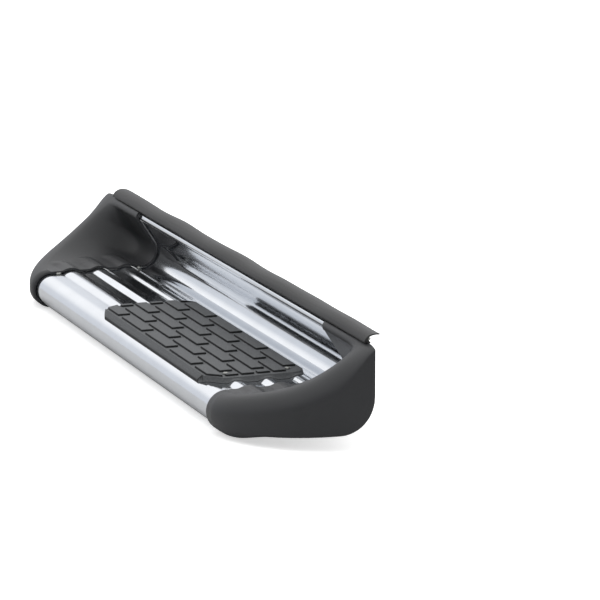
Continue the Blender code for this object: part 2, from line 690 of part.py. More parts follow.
def make_pad(material):
    """The rubber step pad: moulded base, raised bricks, screw holes and stud pockets."""
    section = pad_section()
    left, right = PAD_LEFT - PAD_TRIM_SPARE, PAD_RIGHT + PAD_END_SLOPE + PAD_TRIM_SPARE
    pad = add_object("step_pad", *extruded(section, left, right), material)
    outline = pad_outline(min(y for y, _ in section) - FIT_GAP)
    base = TREAD_Z + PAD_BASE
    trim = add_object("pad_trim", *pad_trim(outline, base), None, smooth=0)
    cut(pad, [trim], "INTERSECT", "MANIFOLD")
    window = inset_outline(outline, PAD_MARGIN)
    vertices, faces = [], []
    for corners in brick_outlines(window):
        block_vertices, block_faces = prism(corners, base - BRICK_SINK, base + BRICK_HEIGHT, BRICK_DRAFT)
        faces += [tuple(index + len(vertices) for index in face) for face in block_faces]
        vertices += block_vertices
    bricks = add_object("pad_bricks", vertices, faces, None, smooth=0)
    cut(pad, [bricks], "UNION", "MANIFOLD")
    radius = SHANK_RADIUS + HOLE_CLEARANCE
    cutters = [cylinder(f"pad_seat_{i}", place, SCREW_HEAD_RADIUS + 2 * HOLE_CLEARANCE, base - FIT_GAP,
                        base + PAD_BASE)
               for i, place in enumerate(pad_screw_places())]
    cut(pad, cutters, "DIFFERENCE", "MANIFOLD")
    cutters = [cylinder(f"pad_hole_{i}", place, radius, TREAD_Z - PAD_BASE, base + PAD_BASE)
               for i, place in enumerate(pad_screw_places())]
    cutters += [cylinder(f"pad_pocket_{i}", place, radius, TREAD_Z - PAD_BASE, base - STUD_COVER)
                for i, place in enumerate(pad_stud_places())]
    cut(pad, cutters, "DIFFERENCE", "MANIFOLD")
    return pad


def make_seal(material):
    """The rocker seal: a flat foot on the lip flange and a flap that curls rearward, slightly wavy."""
    foot_z = LIP_TOP_Z + FIT_GAP + SEAL_THICKNESS / 2
    front = CAP_REAR_Y + SEAL_SET_BACK + SEAL_THICKNESS / 2
    path = [(front + SEAL_FOOT, foot_z, 0.0), (front + SEAL_BEND, foot_z, 0.0)]
    for i in range(1, 3):
        turn = -pi / 2 - pi / 2 * i / 2
        path.append((front + SEAL_BEND + SEAL_BEND * cos(turn),
                     foot_z + SEAL_BEND + SEAL_BEND * sin(turn), 0.0))
    path.append((front - SEAL_LEAN * 0.7, foot_z + SEAL_FACE * 0.65, 0.1))
    curl_y, curl_z = front - SEAL_LEAN + SEAL_REACH, foot_z + SEAL_FACE
    for i in range(6):
        turn = pi - pi / 2 * i / 5
        path.append((curl_y + SEAL_REACH * cos(turn), curl_z + SEAL_RISE * sin(turn), 0.2 + 0.6 * i / 5))
    for i in range(1, 3):
        turn = pi / 2 - radians(34) * i / 2
        path.append((curl_y + SEAL_TAIL * cos(turn), curl_z + SEAL_RISE * sin(turn), 0.8 + 0.1 * i))
    stations = 25
    vertices = []
    for k in range(stations):
        share = 2 * k / (stations - 1) - 1
        for y, z, flap in path:
            end = SEAL_HALF - SEAL_END_ROUND * (1 - sqrt(1 - 0.96 * flap ** 2))
            x = share * (end if flap else SEAL_HALF - SEAL_NOTCH)
            wave = SEAL_WAVE * flap ** 2 * sin(2 * pi * x / SEAL_WAVE_LENGTH)
            vertices.append((x, y + wave, z + 0.6 * wave))
    width = len(path)
    faces = []
    for i in range(stations - 1):
        for j in range(width - 1):
            corner = i * width + j
            faces.append((corner, corner + width, corner + 1 + width, corner + 1))
    seal = open_surface("rocker_seal", vertices, faces, material)
    solidify = seal.modifiers.new("Wall", "SOLIDIFY")
    solidify.thickness = SEAL_THICKNESS
    solidify.offset = 0.0
    solidify.use_even_offset = True
    holes = [cylinder(f"seal_hole_{i}", (side * SEAL_SCREW_X, seal_foot_y()), SHANK_RADIUS + HOLE_CLEARANCE,
                      foot_z - SEAL_THICKNESS, foot_z + SEAL_THICKNESS) for i, side in enumerate((-1, 1))]
    cut(seal, holes)
    return seal


def seal_foot_y():
    """Middle of the seal's flat foot."""
    return CAP_REAR_Y + SEAL_SET_BACK + SEAL_THICKNESS / 2 + SEAL_HOLE_SET


def make_channel(name, middle, material):
    """A support channel: a short lipped channel under the tread with two slots for a vehicle bracket."""
    half, t = CHANNEL_WEB / 2, CHANNEL_SHEET
    top = TREAD_Z - SHEET - FIT_GAP
    outer = [(CHANNEL_LIP - half, top), (-half, top), (-half, 0.0), (half, 0.0),
             (half, top), (half - CHANNEL_LIP, top)]
    inner = [(CHANNEL_LIP - half, top - t), (t - half, top - t), (t - half, t),
             (half - t, t), (half - t, top - t),
             (half - CHANNEL_LIP, top - t)]
    reach = CHANNEL_LENGTH / 2
    channel = add_object(name, *extruded_sheet(outer, inner, middle - reach, middle + reach), material, 0)
    cutters = []
    run = (SLOT_LENGTH - SLOT_WIDTH) / 2
    for side in (-1, 1):
        x = middle + side * SLOT_SET
        outline = corner_arc((x + run, 0.0), SLOT_WIDTH / 2, -90, 90, 6)
        outline += corner_arc((x - run, 0.0), SLOT_WIDTH / 2, 90, 270, 6)
        cutters.append(add_object(f"slot_{name}_{side + 1}", *prism(outline, -t, 2 * t), None, smooth=0))
    cut(channel, cutters)
    return channel


def make_screw(name, place, seat_z, end_z, material):
    """A pan-head screw seated at seat_z with its shank down to end_z."""
    r, h = SCREW_HEAD_RADIUS, SCREW_HEAD_HEIGHT
    profile = [(0.0, end_z), (SHANK_RADIUS * 0.8, end_z),
               (SHANK_RADIUS, end_z + 0.0006), (SHANK_RADIUS, seat_z),
               (r, seat_z), (r, seat_z + h * 0.35), (r * 0.86, seat_z + h * 0.78), (r * 0.55, seat_z + h),
               (r * 0.28, seat_z + h), (r * 0.28, seat_z + h * 0.45), (0.0, seat_z + h * 0.45)]
    return add_object(name, *turned(profile, place, 16), material, 35)


def make_stud(name, place, top_z, end_z, material):
    """A plain stud held in the pad, hanging down through the tread."""
    profile = [(0.0, end_z), (SHANK_RADIUS * 0.8, end_z), (SHANK_RADIUS, end_z + 0.0006),
               (SHANK_RADIUS, top_z), (0.0, top_z)]
    return add_object(name, *turned(profile, place, 16), material, 35)


def make_nut(name, place, top_z, material):
    """A flange nut with its flange at top_z, threaded on a shank."""
    bore = SHANK_RADIUS + FIT_GAP
    flange_z = top_z - NUT_HEIGHT * 0.3
    end_z = top_z - NUT_HEIGHT
    sides = 12
    corner = NUT_ACROSS / 2 / cos(pi / 6)
    vertices, rings = [], []

    def ring(radius_at, z):
        rings.append(len(vertices))
        for i in range(sides):
            angle = 2 * pi * i / sides
            radius = radius_at(i)
            vertices.append((place[0] + radius * cos(angle), place[1] + radius * sin(angle), z))
    ring(lambda i: bore, top_z)
    ring(lambda i: NUT_FLANGE_RADIUS, top_z)
    ring(lambda i: NUT_FLANGE_RADIUS, top_z - 0.0007)
    ring(lambda i: corner if i % 2 == 0 else NUT_ACROSS / 2, flange_z)
    ring(lambda i: corner if i % 2 == 0 else NUT_ACROSS / 2, end_z)
    ring(lambda i: bore, end_z)
    faces = []
    for low, high in zip(rings, rings[1:] + rings[:1]):
        for i in range(sides):
            j = (i + 1) % sides
            faces.append((low + i, low + j, high + j, high + i))
    return add_object(name, vertices, faces, material, 25)


def make_clip(name, x, material):
    """A small spring clip that holds the seal's foot on the lip flange."""
    gap, t = FIT_GAP, CLIP_SHEET
    foot_top = LIP_TOP_Z + FIT_GAP + SEAL_THICKNESS
    back = max(LIP_BACK_Y, CAP_REAR_Y + SEAL_SET_BACK + SEAL_THICKNESS / 2 + SEAL_FOOT) + gap
    front = back - CLIP_REACH
    low, high = LIP_TOP_Z - SHEET - gap, foot_top + gap
    loop = [(front, high), (back, high), (back, low), (front, low), (front, low - t), (back + t, low - t),
            (back + t, high + t), (front, high + t)]
    return add_object(name, *extruded(loop, x - CLIP_WIDTH / 2, x + CLIP_WIDTH / 2), material, 0)


def main():
    for thing in list(bpy.data.objects):
        bpy.data.objects.remove(thing, do_unlink=True)
    stainless = new_material("polished_stainless", (0.78, 0.79, 0.80), 0.12, 1.0)
    moulding = new_material("moulded_plastic", (0.045, 0.047, 0.050), 0.55)
    pad_rubber = new_material("pad_rubber", (0.075, 0.078, 0.082), 0.75)
    seal_rubber = new_material("seal_rubber", (0.070, 0.070, 0.070), 0.65)
    galvanised = new_material("galvanised_steel", (0.55, 0.56, 0.57), 0.45, 1.0)
    zinc = new_material("zinc_plated_steel", (0.62, 0.62, 0.60), 0.35, 1.0)
    clip_steel = new_material("black_spring_steel", (0.05, 0.05, 0.05), 0.4, 1.0)

    make_step_body(stainless)
    make_cap("end_cap_left", -1, moulding)
    make_cap("end_cap_right", 1, moulding)
    make_pad(pad_rubber)
    make_seal(seal_rubber)
    for label, side in (("left", -1), ("middle", 0), ("right", 1)):
        make_channel("support_channel_" + label, side * CHANNEL_PITCH, galvanised)

    under = TREAD_Z - SHEET
    nut_top = under - FIT_GAP
    low_end = under - SCREW_BELOW
    corner_names = ("left_front", "left_rear", "right_front", "right_rear")
    for label, place in zip(corner_names, cap_screw_places()):
        make_screw("cap_screw_" + label, place, TREAD_Z + FIT_GAP + head_lift(place[1]), low_end, zinc)
        make_nut("cap_nut_" + label, place, nut_top, zinc)
    for label, place in zip(("front", "rear"), pad_screw_places()):
        make_screw("pad_screw_" + label, place, TREAD_Z + PAD_BASE + FIT_GAP, low_end, zinc)
        make_nut("pad_nut_" + label, place, nut_top + nut_lift(place[1]), zinc)
    stud_names = ("left_front", "left_rear", "middle_front", "middle_rear")
    for label, place in zip(stud_names, pad_stud_places()):
        lift = rib_height(place[1])
        make_stud("pad_stud_" + label, place, TREAD_Z + PAD_BASE - STUD_COVER - FIT_GAP, low_end + lift, zinc)
        make_nut("stud_nut_" + label, place, nut_top + nut_lift(place[1]), zinc)
    seat = LIP_TOP_Z + 2 * FIT_GAP + SEAL_THICKNESS
    for label, side in (("left", -1), ("right", 1)):
        place = (side * SEAL_SCREW_X, seal_foot_y())
        make_screw("seal_screw_" + label, place, seat, LIP_TOP_Z - CAP_WALL - SEAL_SCREW_BELOW, zinc)
    for label, x in zip(("left", "middle", "right"), CLIP_STATIONS):
        make_clip("seal_clip_" + label, x, clip_steel)


if __name__ == "__main__":
    main()
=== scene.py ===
"""A truck side step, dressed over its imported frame: folded stainless, moulded caps, rubber pad and seal.

The frame: X runs along the step, Y points inboard to the vehicle, Z is up. Lengths are in metres.
"""
import math

import bmesh
import bpy
import numpy as np
from bpy.props import FloatProperty, FloatVectorProperty, PointerProperty
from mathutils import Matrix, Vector


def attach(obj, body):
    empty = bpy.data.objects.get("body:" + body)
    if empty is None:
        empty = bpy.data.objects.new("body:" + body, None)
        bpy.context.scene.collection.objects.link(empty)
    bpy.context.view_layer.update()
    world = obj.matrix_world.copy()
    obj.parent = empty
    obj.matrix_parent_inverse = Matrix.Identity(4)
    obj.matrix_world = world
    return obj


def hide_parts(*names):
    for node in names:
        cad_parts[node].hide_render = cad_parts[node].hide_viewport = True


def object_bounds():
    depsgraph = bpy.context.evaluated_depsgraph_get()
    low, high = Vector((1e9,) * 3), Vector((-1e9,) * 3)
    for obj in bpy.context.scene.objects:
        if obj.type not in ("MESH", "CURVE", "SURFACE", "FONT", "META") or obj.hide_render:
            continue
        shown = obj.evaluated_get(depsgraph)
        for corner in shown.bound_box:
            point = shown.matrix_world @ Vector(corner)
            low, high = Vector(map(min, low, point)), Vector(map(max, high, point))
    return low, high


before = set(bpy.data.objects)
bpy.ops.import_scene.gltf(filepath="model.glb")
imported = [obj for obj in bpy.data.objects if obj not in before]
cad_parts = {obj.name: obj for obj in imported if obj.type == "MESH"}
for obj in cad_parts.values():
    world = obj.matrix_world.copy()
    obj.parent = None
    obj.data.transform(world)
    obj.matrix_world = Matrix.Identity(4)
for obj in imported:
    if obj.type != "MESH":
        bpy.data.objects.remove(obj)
CAD_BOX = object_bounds()

bl_info = {
    "name": "Truck side step",
    "version": (1, 0, 0),
    "blender": (4, 5, 0),
    "location": "3D View > Sidebar > Side step",
    "description": "Builds the surfaces, finishes and studio of a truck side step",
    "category": "Object",
}

# The sheet's section, from the return under the nose to the flange behind the lip
SHEET = 0.0015
NOSE_RETURN = 0.028
NOSE_RADIUS = 0.020
NOSE_Y = -0.0635
TREAD_Z = 0.0434
COVE_Y = 0.0595
COVE_RADIUS = 0.0215
WALL_LEAN = math.radians(32.7)
WALL_RUN = 0.0333
CREASE_RADIUS = 0.0050
CREASE_TURN = math.radians(20)
LIP_RADIUS = 0.0050
LIP_FLANGE = 0.0109
# How far the sheet reaches under each cap
SHEET_LAP = 0.006

# The tread's ribs: the middle of each, then their height, half crest and flank
RIBS = (-0.0362, 0.0013, 0.0388)
RIB_HEIGHT = 0.0031
RIB_CREST = 0.0019
RIB_SLOPE = 0.0122

# The caps' own wall and lip, and their outline in plan, which starts straight for a few millimetres
CAP_WALL_RUN = 0.0360
CAP_LIP_RADIUS = 0.0032
CAP_POWER = 1.76
CAP_STRAIGHT = 0.008
# The caps' bottom edge: its rise behind the nose, its slope and the round corner at its rear
HEM_RISE = 0.0088
HEM_SLOPE = 0.08
HEM_CORNER = 0.038
# Radius of the rolled hem past the nose, and how far the rim's roll drops at the rear corner
HEM_RADIUS = 0.004
CORNER_DROP = 0.0050
# Points round the hem and over the rim
HEM_STEPS = 8
RIM_STEPS = 14
# The bowl's stations next to the steel, which close up on rows shorter than BOWL_ROW, and its even stations
BOWL_EDGE = np.array([0.0070, 0.0050, 0.0036, 0.0026, 0.0018, 0.0011, 0.0005, 0.0])
BOWL_ROW = 0.16
BOWL_STATIONS = 40
# Climb of the bowl over which a rib fades out
RIB_FADE = 0.0042

# The pad's outline: round left corners, a chamfer at the right front, a small round right rear corner
PAD_FRONT = -0.0747
PAD_REAR = 0.0495
PAD_LEFT = -0.1060
PAD_RIGHT = 0.2980
PAD_TOP = 0.0496
PAD_CORNER = 0.036
PAD_CHAMFER = 0.026
PAD_REAR_CORNER = 0.016
# Gap to the sheet, radius of the top edge and run of the sloped right end
PAD_GAP = 0.0003
PAD_EDGE = 0.0012
PAD_END_RUN = 0.0045
# The ridged and sloped front border: depth from the first row's gap and height from the pad's top
PAD_BORDER = np.array([(0.0010, 0.0), (0.0, 0.0), (-0.0004, 0.0011), (-0.0011, 0.0011), (-0.0014, 0.0002),
                       (-0.0022, -0.0004), (-0.0034, -0.0022), (-0.0041, -0.0028), (-0.0052, -0.0052),
                       (-0.0058, -0.0074), (-0.0054, -0.0084)])

# The rows of bricks, from the front, and the most bricks in one
ROWS = 6
ROW_BRICKS = 6
ROW_FRONT = -0.0652
ROW_PITCH = 0.019183
ROW_GAP = 0.0034
JOINT = 0.0120
# Bricks: the first joint from the pad's left end, the borders beside them and the shortest one that is kept
FIRST_JOINT = 0.0165
RIGHT_BORDER = 0.0065
BRICK_BORDER = 0.0026
SHORTEST_BRICK = 0.005
# Past this point lie the short bricks at the right end: the second row's is shortened, the rear row has none
SHORT_BRICKS = 0.275
SHORTENED = 0.0030
# One brick: its round corners, the quarter circle round its top and how far its top is drawn in
BRICK_CORNER = 0.0016
BRICK_EDGE = 0.0007
BRICK_INSET = 0.0011
BRICK_POINTS = 32

# The seal's profile in millimetres: its foot, the curl at its front, over the flap and back under it
SEAL_LOOP = [(71.87, 115.10), (60.6, 115.10), (60.4, 117.8), (58.4, 118.5), (57.0, 118.5), (56.2, 118.1),
             (55.3, 117.7), (54.4, 118.4), (54.3, 119.6), (54.9, 121.2), (56.2, 123.6), (58.6, 125.9),
             (61.8, 127.5), (65.6, 128.2), (69.5, 128.0), (73.0, 127.2), (75.2, 126.3), (74.9, 125.7),
             (72.5, 126.0), (69.3, 126.6), (65.8, 126.6), (62.4, 125.8), (59.8, 124.2), (58.6, 122.3),
             (59.2, 120.6), (60.8, 119.6), (62.0, 118.2), (62.2, 116.60), (71.87, 116.60)]
# Its foot: its front and top, and the length of the notches at both ends and the depth they pull it to
FOOT_FRONT = 0.0605
FOOT_TOP = 0.1175
NOTCH = 0.030
NOTCH_Y = 0.0608
# Its flap: its lowest point, its front and its depth behind that, and how far its free edge is rounded back
FLAP_Z = 0.1182
FLAP_FRONT = 0.062
FLAP_DEPTH = 0.0135
FLAP_ROUND = 0.007
# Its waves: the height they start at and the rise to their full size, then their lengths
WAVE_Z = 0.1165
WAVE_RISE = 0.0115
LONG_WAVE = 0.230
SHORT_WAVE = 0.121
DROOP_WAVE = 0.190

# The studio: half the floor's width and its gap below the step
FLOOR_HALF = 6
FLOOR_GAP = 0.0005
# The floor's glow for the camera, and its tone in mirrors as a share of its own
FLOOR_GLOW = 0.55
FLOOR_MIRRORED = 0.62
# The lamps, each with its place, size and power, and the point they all look at
LAMP_AIM = (0, 0, 0.05)
LAMPS = {"key": ((-0.3, 0.2, 2.8), 2.6, 14.0), "back": ((-1.8, 1.6, 1.6), 1.6, 5.0)}
# The level direction from the step to the camera
TO_CAMERA = (0.937, -0.349, 0.0)
# Depth of a grain's or a line's bump at full strength
GRAIN_DEPTH = 0.0002


def length(name, default, description):
    """A bpy length property in metres."""
    return FloatProperty(name=name, default=default, unit="LENGTH", description=description, precision=4)


def colour(name, default, description):
    """A bpy colour property whose default is an sRGB hex value."""
    return FloatVectorProperty(name=name, default=srgb(default), subtype="COLOR", size=3, min=0, max=1,
                               description=description)


def srgb(value):
    """Linear RGB of an sRGB hex value: low values are divided by 12.92, the others follow the 2.4 power."""
    parts = [int(value[i:i + 2], 16) / 255 for i in (1, 3, 5)]
    return tuple(p / 12.92 if p <= 0.04045 else ((p + 0.055) / 1.055) ** 2.4 for p in parts)


class StepSizes(bpy.types.PropertyGroup):
    """Sizes of the step that a user would change."""
    half_steel: length("Half steel", 0.340, "Half the length of steel that shows between the caps")
    cap_length: length("Cap length", 0.146, "Length of each cap beyond the steel")
    cap_wall: length("Cap wall", 0.0026, "Wall of the moulded caps")
    cap_standoff: length("Cap standoff", 0.0034, "Height of the caps' skin above the sheet they wrap")
    cap_rise: length("Cap rise", 0.0718, "Climb of the cap rim from the nose to the rear corner")
    brick_height: length("Brick height", 0.0024, "Height of the pad's bricks above its base")
    brick_length: length("Brick length", 0.0914, "Pitch of the bricks along the step")
    seal_left: length("Seal left", 0.447, "Reach of the seal to the left of the middle")
    seal_right: length("Seal right", 0.465, "Reach of the seal to the right of the middle")
    seal_wave: length("Seal wave", 0.0009, "How far the seal's free edge waves")


class StepFinishes(bpy.types.PropertyGroup):
    """Colours of the step's finishes."""
    stainless: colour("Stainless", "#D8DBDF", "Polished stainless sheet")
    moulding: colour("Moulding", "#303133", "Charcoal cap moulding")
    pad: colour("Pad", "#4E5052", "Pad rubber")
    seal: colour("Seal", "#222222", "Seal rubber")
    zinc: colour("Zinc", "#8F908C", "Zinc plate on screws and nuts")
    galvanised: colour("Galvanised", "#B4B8BA", "Galvanised channel")
    clip: colour("Clip", "#2A2A2B", "Black spring clips")


class StepStudio(bpy.types.PropertyGroup):
    """The photograph's camera and the studio round the step."""
    lens: FloatProperty(name="Lens", default=226.47, description="Focal length in mm on a 36 mm sensor")
    azimuth: FloatProperty(name="Azimuth", default=69.61, description="Camera azimuth in degrees")
    elevation: FloatProperty(name="Elevation", default=12.41, description="Camera elevation in degrees")
    distance: length("Distance", 4.5392, "Camera distance")
    aim_right: length("Aim right", 0.22075, "Camera centre along its own right axis")
    aim_up: length("Aim up", 0.03687, "Camera centre along its own up axis")
    floor: colour("Floor", "#F4F4F4", "Pale studio floor")


def add_mesh(name, vertices, faces):
    """A mesh object from an array of vertices and any list of faces."""
    mesh = bpy.data.meshes.new(name)
    mesh.from_pydata(np.asarray(vertices).reshape(-1, 3).tolist(), [], [list(face) for face in faces])
    mesh.validate()
    thing = bpy.data.objects.new(name, mesh)
    bpy.context.scene.collection.objects.link(thing)
    return thing


def grid_faces(rows, columns, flip=False, close=False):
    """Quads of a rows by columns grid of points. Closed, the last column joins the first."""
    across = columns if close else columns - 1
    i, j = np.meshgrid(np.arange(rows - 1), np.arange(across), indexing="ij")
    a = i * columns + j
    b = i * columns + (j + 1) % columns
    quads = np.stack([a, b, b + columns, a + columns], axis=-1).reshape(-1, 4)
    return quads[:, ::-1] if flip else quads


def weld(thing, gap=1e-6, turn=True, sharp=30.0):
    """Merge coincident points, drop collapsed faces, turn normals outwards and smooth up to an angle."""
    shape = bmesh.new()
    shape.from_mesh(thing.data)
    bmesh.ops.remove_doubles(shape, verts=shape.verts, dist=gap)
    bmesh.ops.dissolve_degenerate(shape, edges=shape.edges, dist=gap / 4)
    if turn:
        bmesh.ops.recalc_face_normals(shape, faces=shape.faces)
    shape.to_mesh(thing.data)
    shape.free()
    thing.data.shade_smooth()
    thing.data.set_sharp_from_angle(angle=math.radians(sharp))


def ease(value):
    """0 below 0, 1 above 1, and three squares less two cubes between."""
    t = np.clip(value, 0.0, 1.0)
    return t * t * (3 - 2 * t)


def rib_height(y):
    """Height of the ribs at depth y: a flat crest, then half a cosine down each flank."""
    y = np.asarray(y, float)
    nearest = np.min(np.abs(y[..., None] - np.array(RIBS)), axis=-1)
    t = np.clip((nearest - RIB_CREST) / RIB_SLOPE, 0.0, 1.0)
    return RIB_HEIGHT * (0.5 + 0.5 * np.cos(np.pi * t))


def bend(centre, radius, start, end, steps, side=1):
    """Points on an arc: centre plus radius times (cos, sin) of evenly stepped angles.

    Their normals point away from the centre, or with side -1 towards it.
    """
    angle = np.linspace(start, end, steps)
    normal = np.stack([np.cos(angle), np.sin(angle)], axis=1)
    return np.concatenate([centre + radius * normal, side * normal], axis=1)


def run(start, end, normal, steps):
    """Points on a straight line that all share one normal."""
    t = np.linspace(0, 1, steps)[:, None]
    points = np.array(start) * (1 - t) + np.array(end) * t
    return np.concatenate([points, np.tile(normal, (steps, 1))], axis=1)


def step_section(from_nose=False, flange=True, wall_run=WALL_RUN, lip_radius=LIP_RADIUS):
    """The step's visible side as rows of (y, z, ny, nz).

    Straight runs and tangent arcs: return, nose arc, tread, cove arc, leaning wall, crease, lip and flange,
    each with its own count of points. With from_nose, the return and the nose arc are left out.
    """
    nose = np.array([NOSE_Y, TREAD_Z - NOSE_RADIUS])
    cove = np.array([COVE_Y, TREAD_Z + COVE_RADIUS])
    up = np.array([-math.sin(WALL_LEAN), math.cos(WALL_LEAN)])
    out = np.array([-math.cos(WALL_LEAN), -math.sin(WALL_LEAN)])
    parts = []
    if not from_nose:
        low = TREAD_Z - 2 * NOSE_RADIUS
        parts.append(run((NOSE_Y + NOSE_RETURN, low), (NOSE_Y, low), (0, -1), 5))
        parts.append(bend(nose, NOSE_RADIUS, -math.pi / 2, -3 * math.pi / 2, 49))
    parts.append(run((NOSE_Y, TREAD_Z), (COVE_Y, TREAD_Z), (0, 1), 165))
    parts.append(bend(cove, COVE_RADIUS, -math.pi / 2, WALL_LEAN, 33, -1))
    foot = parts[-1][-1, :2]
    head = foot + up * wall_run
    parts.append(run(foot, head, out, 9))
    crease = head + out * CREASE_RADIUS
    parts.append(bend(crease, CREASE_RADIUS, WALL_LEAN, WALL_LEAN + CREASE_TURN, 7, -1))
    tip, normal = parts[-1][-1, :2], parts[-1][-1, 2:]
    lip = tip - normal * lip_radius
    parts.append(bend(lip, lip_radius, WALL_LEAN + CREASE_TURN + math.pi, math.pi / 2, 17))
    if flange:
        top = parts[-1][-1, :2]
        parts.append(run(top, top + np.array([LIP_FLANGE, 0]), (0, 1), 4))
    section = np.concatenate(parts)
    # Neighbours share an end point, which is kept once
    keep = np.ones(len(section), bool)
    keep[1:] = np.linalg.norm(np.diff(section[:, :2], axis=0), axis=1) > 1e-7
    return section[keep]


def lifted(section, distance):
    """The section moved along its normals, with the ribs added to its flat tread, as rows of (y, z)."""
    path = section[:, :2] + section[:, 2:] * distance
    upward = section[:, 3] > 0.999999
    flat = upward & (section[:, 0] < COVE_Y + 1e-9) & (section[:, 1] < TREAD_Z + 1e-6)
    path[:, 1] += np.where(flat, rib_height(section[:, 0]), 0.0)
    return path


def swept_sheet(name, front, back, stations):
    """A closed sheet: the loop of front path and reversed back path, carried through the X stations.

    Each end is closed by quads between the two paths.
    """
    loop = np.concatenate([front, back[::-1]])
    count, half = len(loop), len(front)
    x = np.repeat(stations, count)
    vertices = np.column_stack([x, np.tile(loop[:, 0], len(stations)), np.tile(loop[:, 1], len(stations))])
    i = np.arange(half - 1)
    end = np.stack([i, i + 1, count - 2 - i, count - 1 - i], axis=-1)
    far_end = end[:, ::-1] + (len(stations) - 1) * count
    sides = grid_faces(len(stations), count, close=True)
    sheet = add_mesh(name, vertices, np.concatenate([sides, end, far_end]))
    weld(sheet)
    return sheet


def cap_front(sizes):
    """Y of the caps' foremost point: the nose's front less the caps' standoff."""
    return NOSE_Y - NOSE_RADIUS - sizes.cap_standoff


def cap_plan(angle, sizes):
    """Cap outline in plan, a superellipse, with inward normals.

    x goes with the sine and y with the cosine of the angle, each to the power of 2 over CAP_POWER, and the
    normals follow the curve's gradient.
    """
    power = 2 / CAP_POWER
    start = sizes.half_steel + CAP_STRAIGHT
    across = sizes.cap_length - CAP_STRAIGHT
    depth = COVE_Y - cap_front(sizes)
    s, c = np.clip(np.sin(angle), 0, 1), np.clip(np.cos(angle), 0, 1)
    point = np.stack([start + across * s ** power, COVE_Y - depth * c ** power], axis=-1)
    slope = power * (CAP_POWER - 1)
    normal = np.stack([-(s ** slope) / across, (c ** slope) / depth], axis=-1)
    return point, normal / np.linalg.norm(normal, axis=-1, keepdims=True)


def cap_heights(y, sizes):
    """Rim crest and bottom edge of a cap at depth y.

    The crest climbs by a quartic of its share of the depth. The bottom edge eases up behind the nose, climbs
    by a slope and turns up at the rear by a quarter circle.
    """
    nose = cap_front(sizes)
    share = np.clip((y - nose) / (COVE_Y - nose), 0, 1)
    climb = share * (0.842 + share * (-1.038 + share * (2.577 - share * 1.381)))
    crest = TREAD_Z + sizes.cap_standoff + sizes.cap_rise * climb
    bottom = HEM_RISE * ease((y - nose) / (2 * NOSE_RADIUS)) + HEM_SLOPE * (y - nose)
    along = np.clip(y - COVE_Y + HEM_CORNER, 0, HEM_CORNER)
    return crest, bottom + HEM_CORNER - np.sqrt(HEM_CORNER ** 2 - along ** 2)


def cap_outer(angle, sizes, straight=None):
    """Outer wall and rim of a cap: rows of points from the bottom edge, round the hem, up and over the rim.

    Hem and rim are quarter ellipses. The hem shrinks from the nose's radius over the first 40 degrees. The
    rim's reach inward is a quartic of the sweep, and its drop shrinks over the last 20 degrees.
    """
    point, inward = cap_plan(angle, sizes)
    if straight is not None:
        point = np.column_stack([np.full(len(point), straight), point[:, 1]])
    crest, bottom = cap_heights(point[:, 1], sizes)
    nose = NOSE_RADIUS + sizes.cap_standoff
    t = angle / (math.pi / 2)
    rim = nose + t * (-0.02457 + t * (0.10861 + t * (-0.10393 + t * 0.02987)))
    drop = rim + (CORNER_DROP - rim) * ease((angle - math.radians(70)) / math.radians(20))
    hem = nose + (HEM_RADIUS - nose) * ease(angle / math.radians(40))
    low = np.linspace(-math.pi / 2, 0, HEM_STEPS)
    high = np.linspace(0, math.pi / 2, RIM_STEPS)
    reach = np.concatenate([hem[:, None] * (1 - np.cos(low)), rim[:, None] * (1 - np.cos(high))], axis=1)
    z = np.concatenate([bottom[:, None] + hem[:, None] * (1 + np.sin(low)),
                        crest[:, None] - drop[:, None] * (1 - np.sin(high))], axis=1)
    xy = point[:, None, :] + inward[:, None, :] * reach[:, :, None]
    return np.concatenate([xy, z[:, :, None]], axis=2)


def facing(y, z):
    """Position across the cap along a line that climbs by 64 degrees: 0.432 times y plus 0.902 times z."""
    return 0.432 * y + 0.902 * z


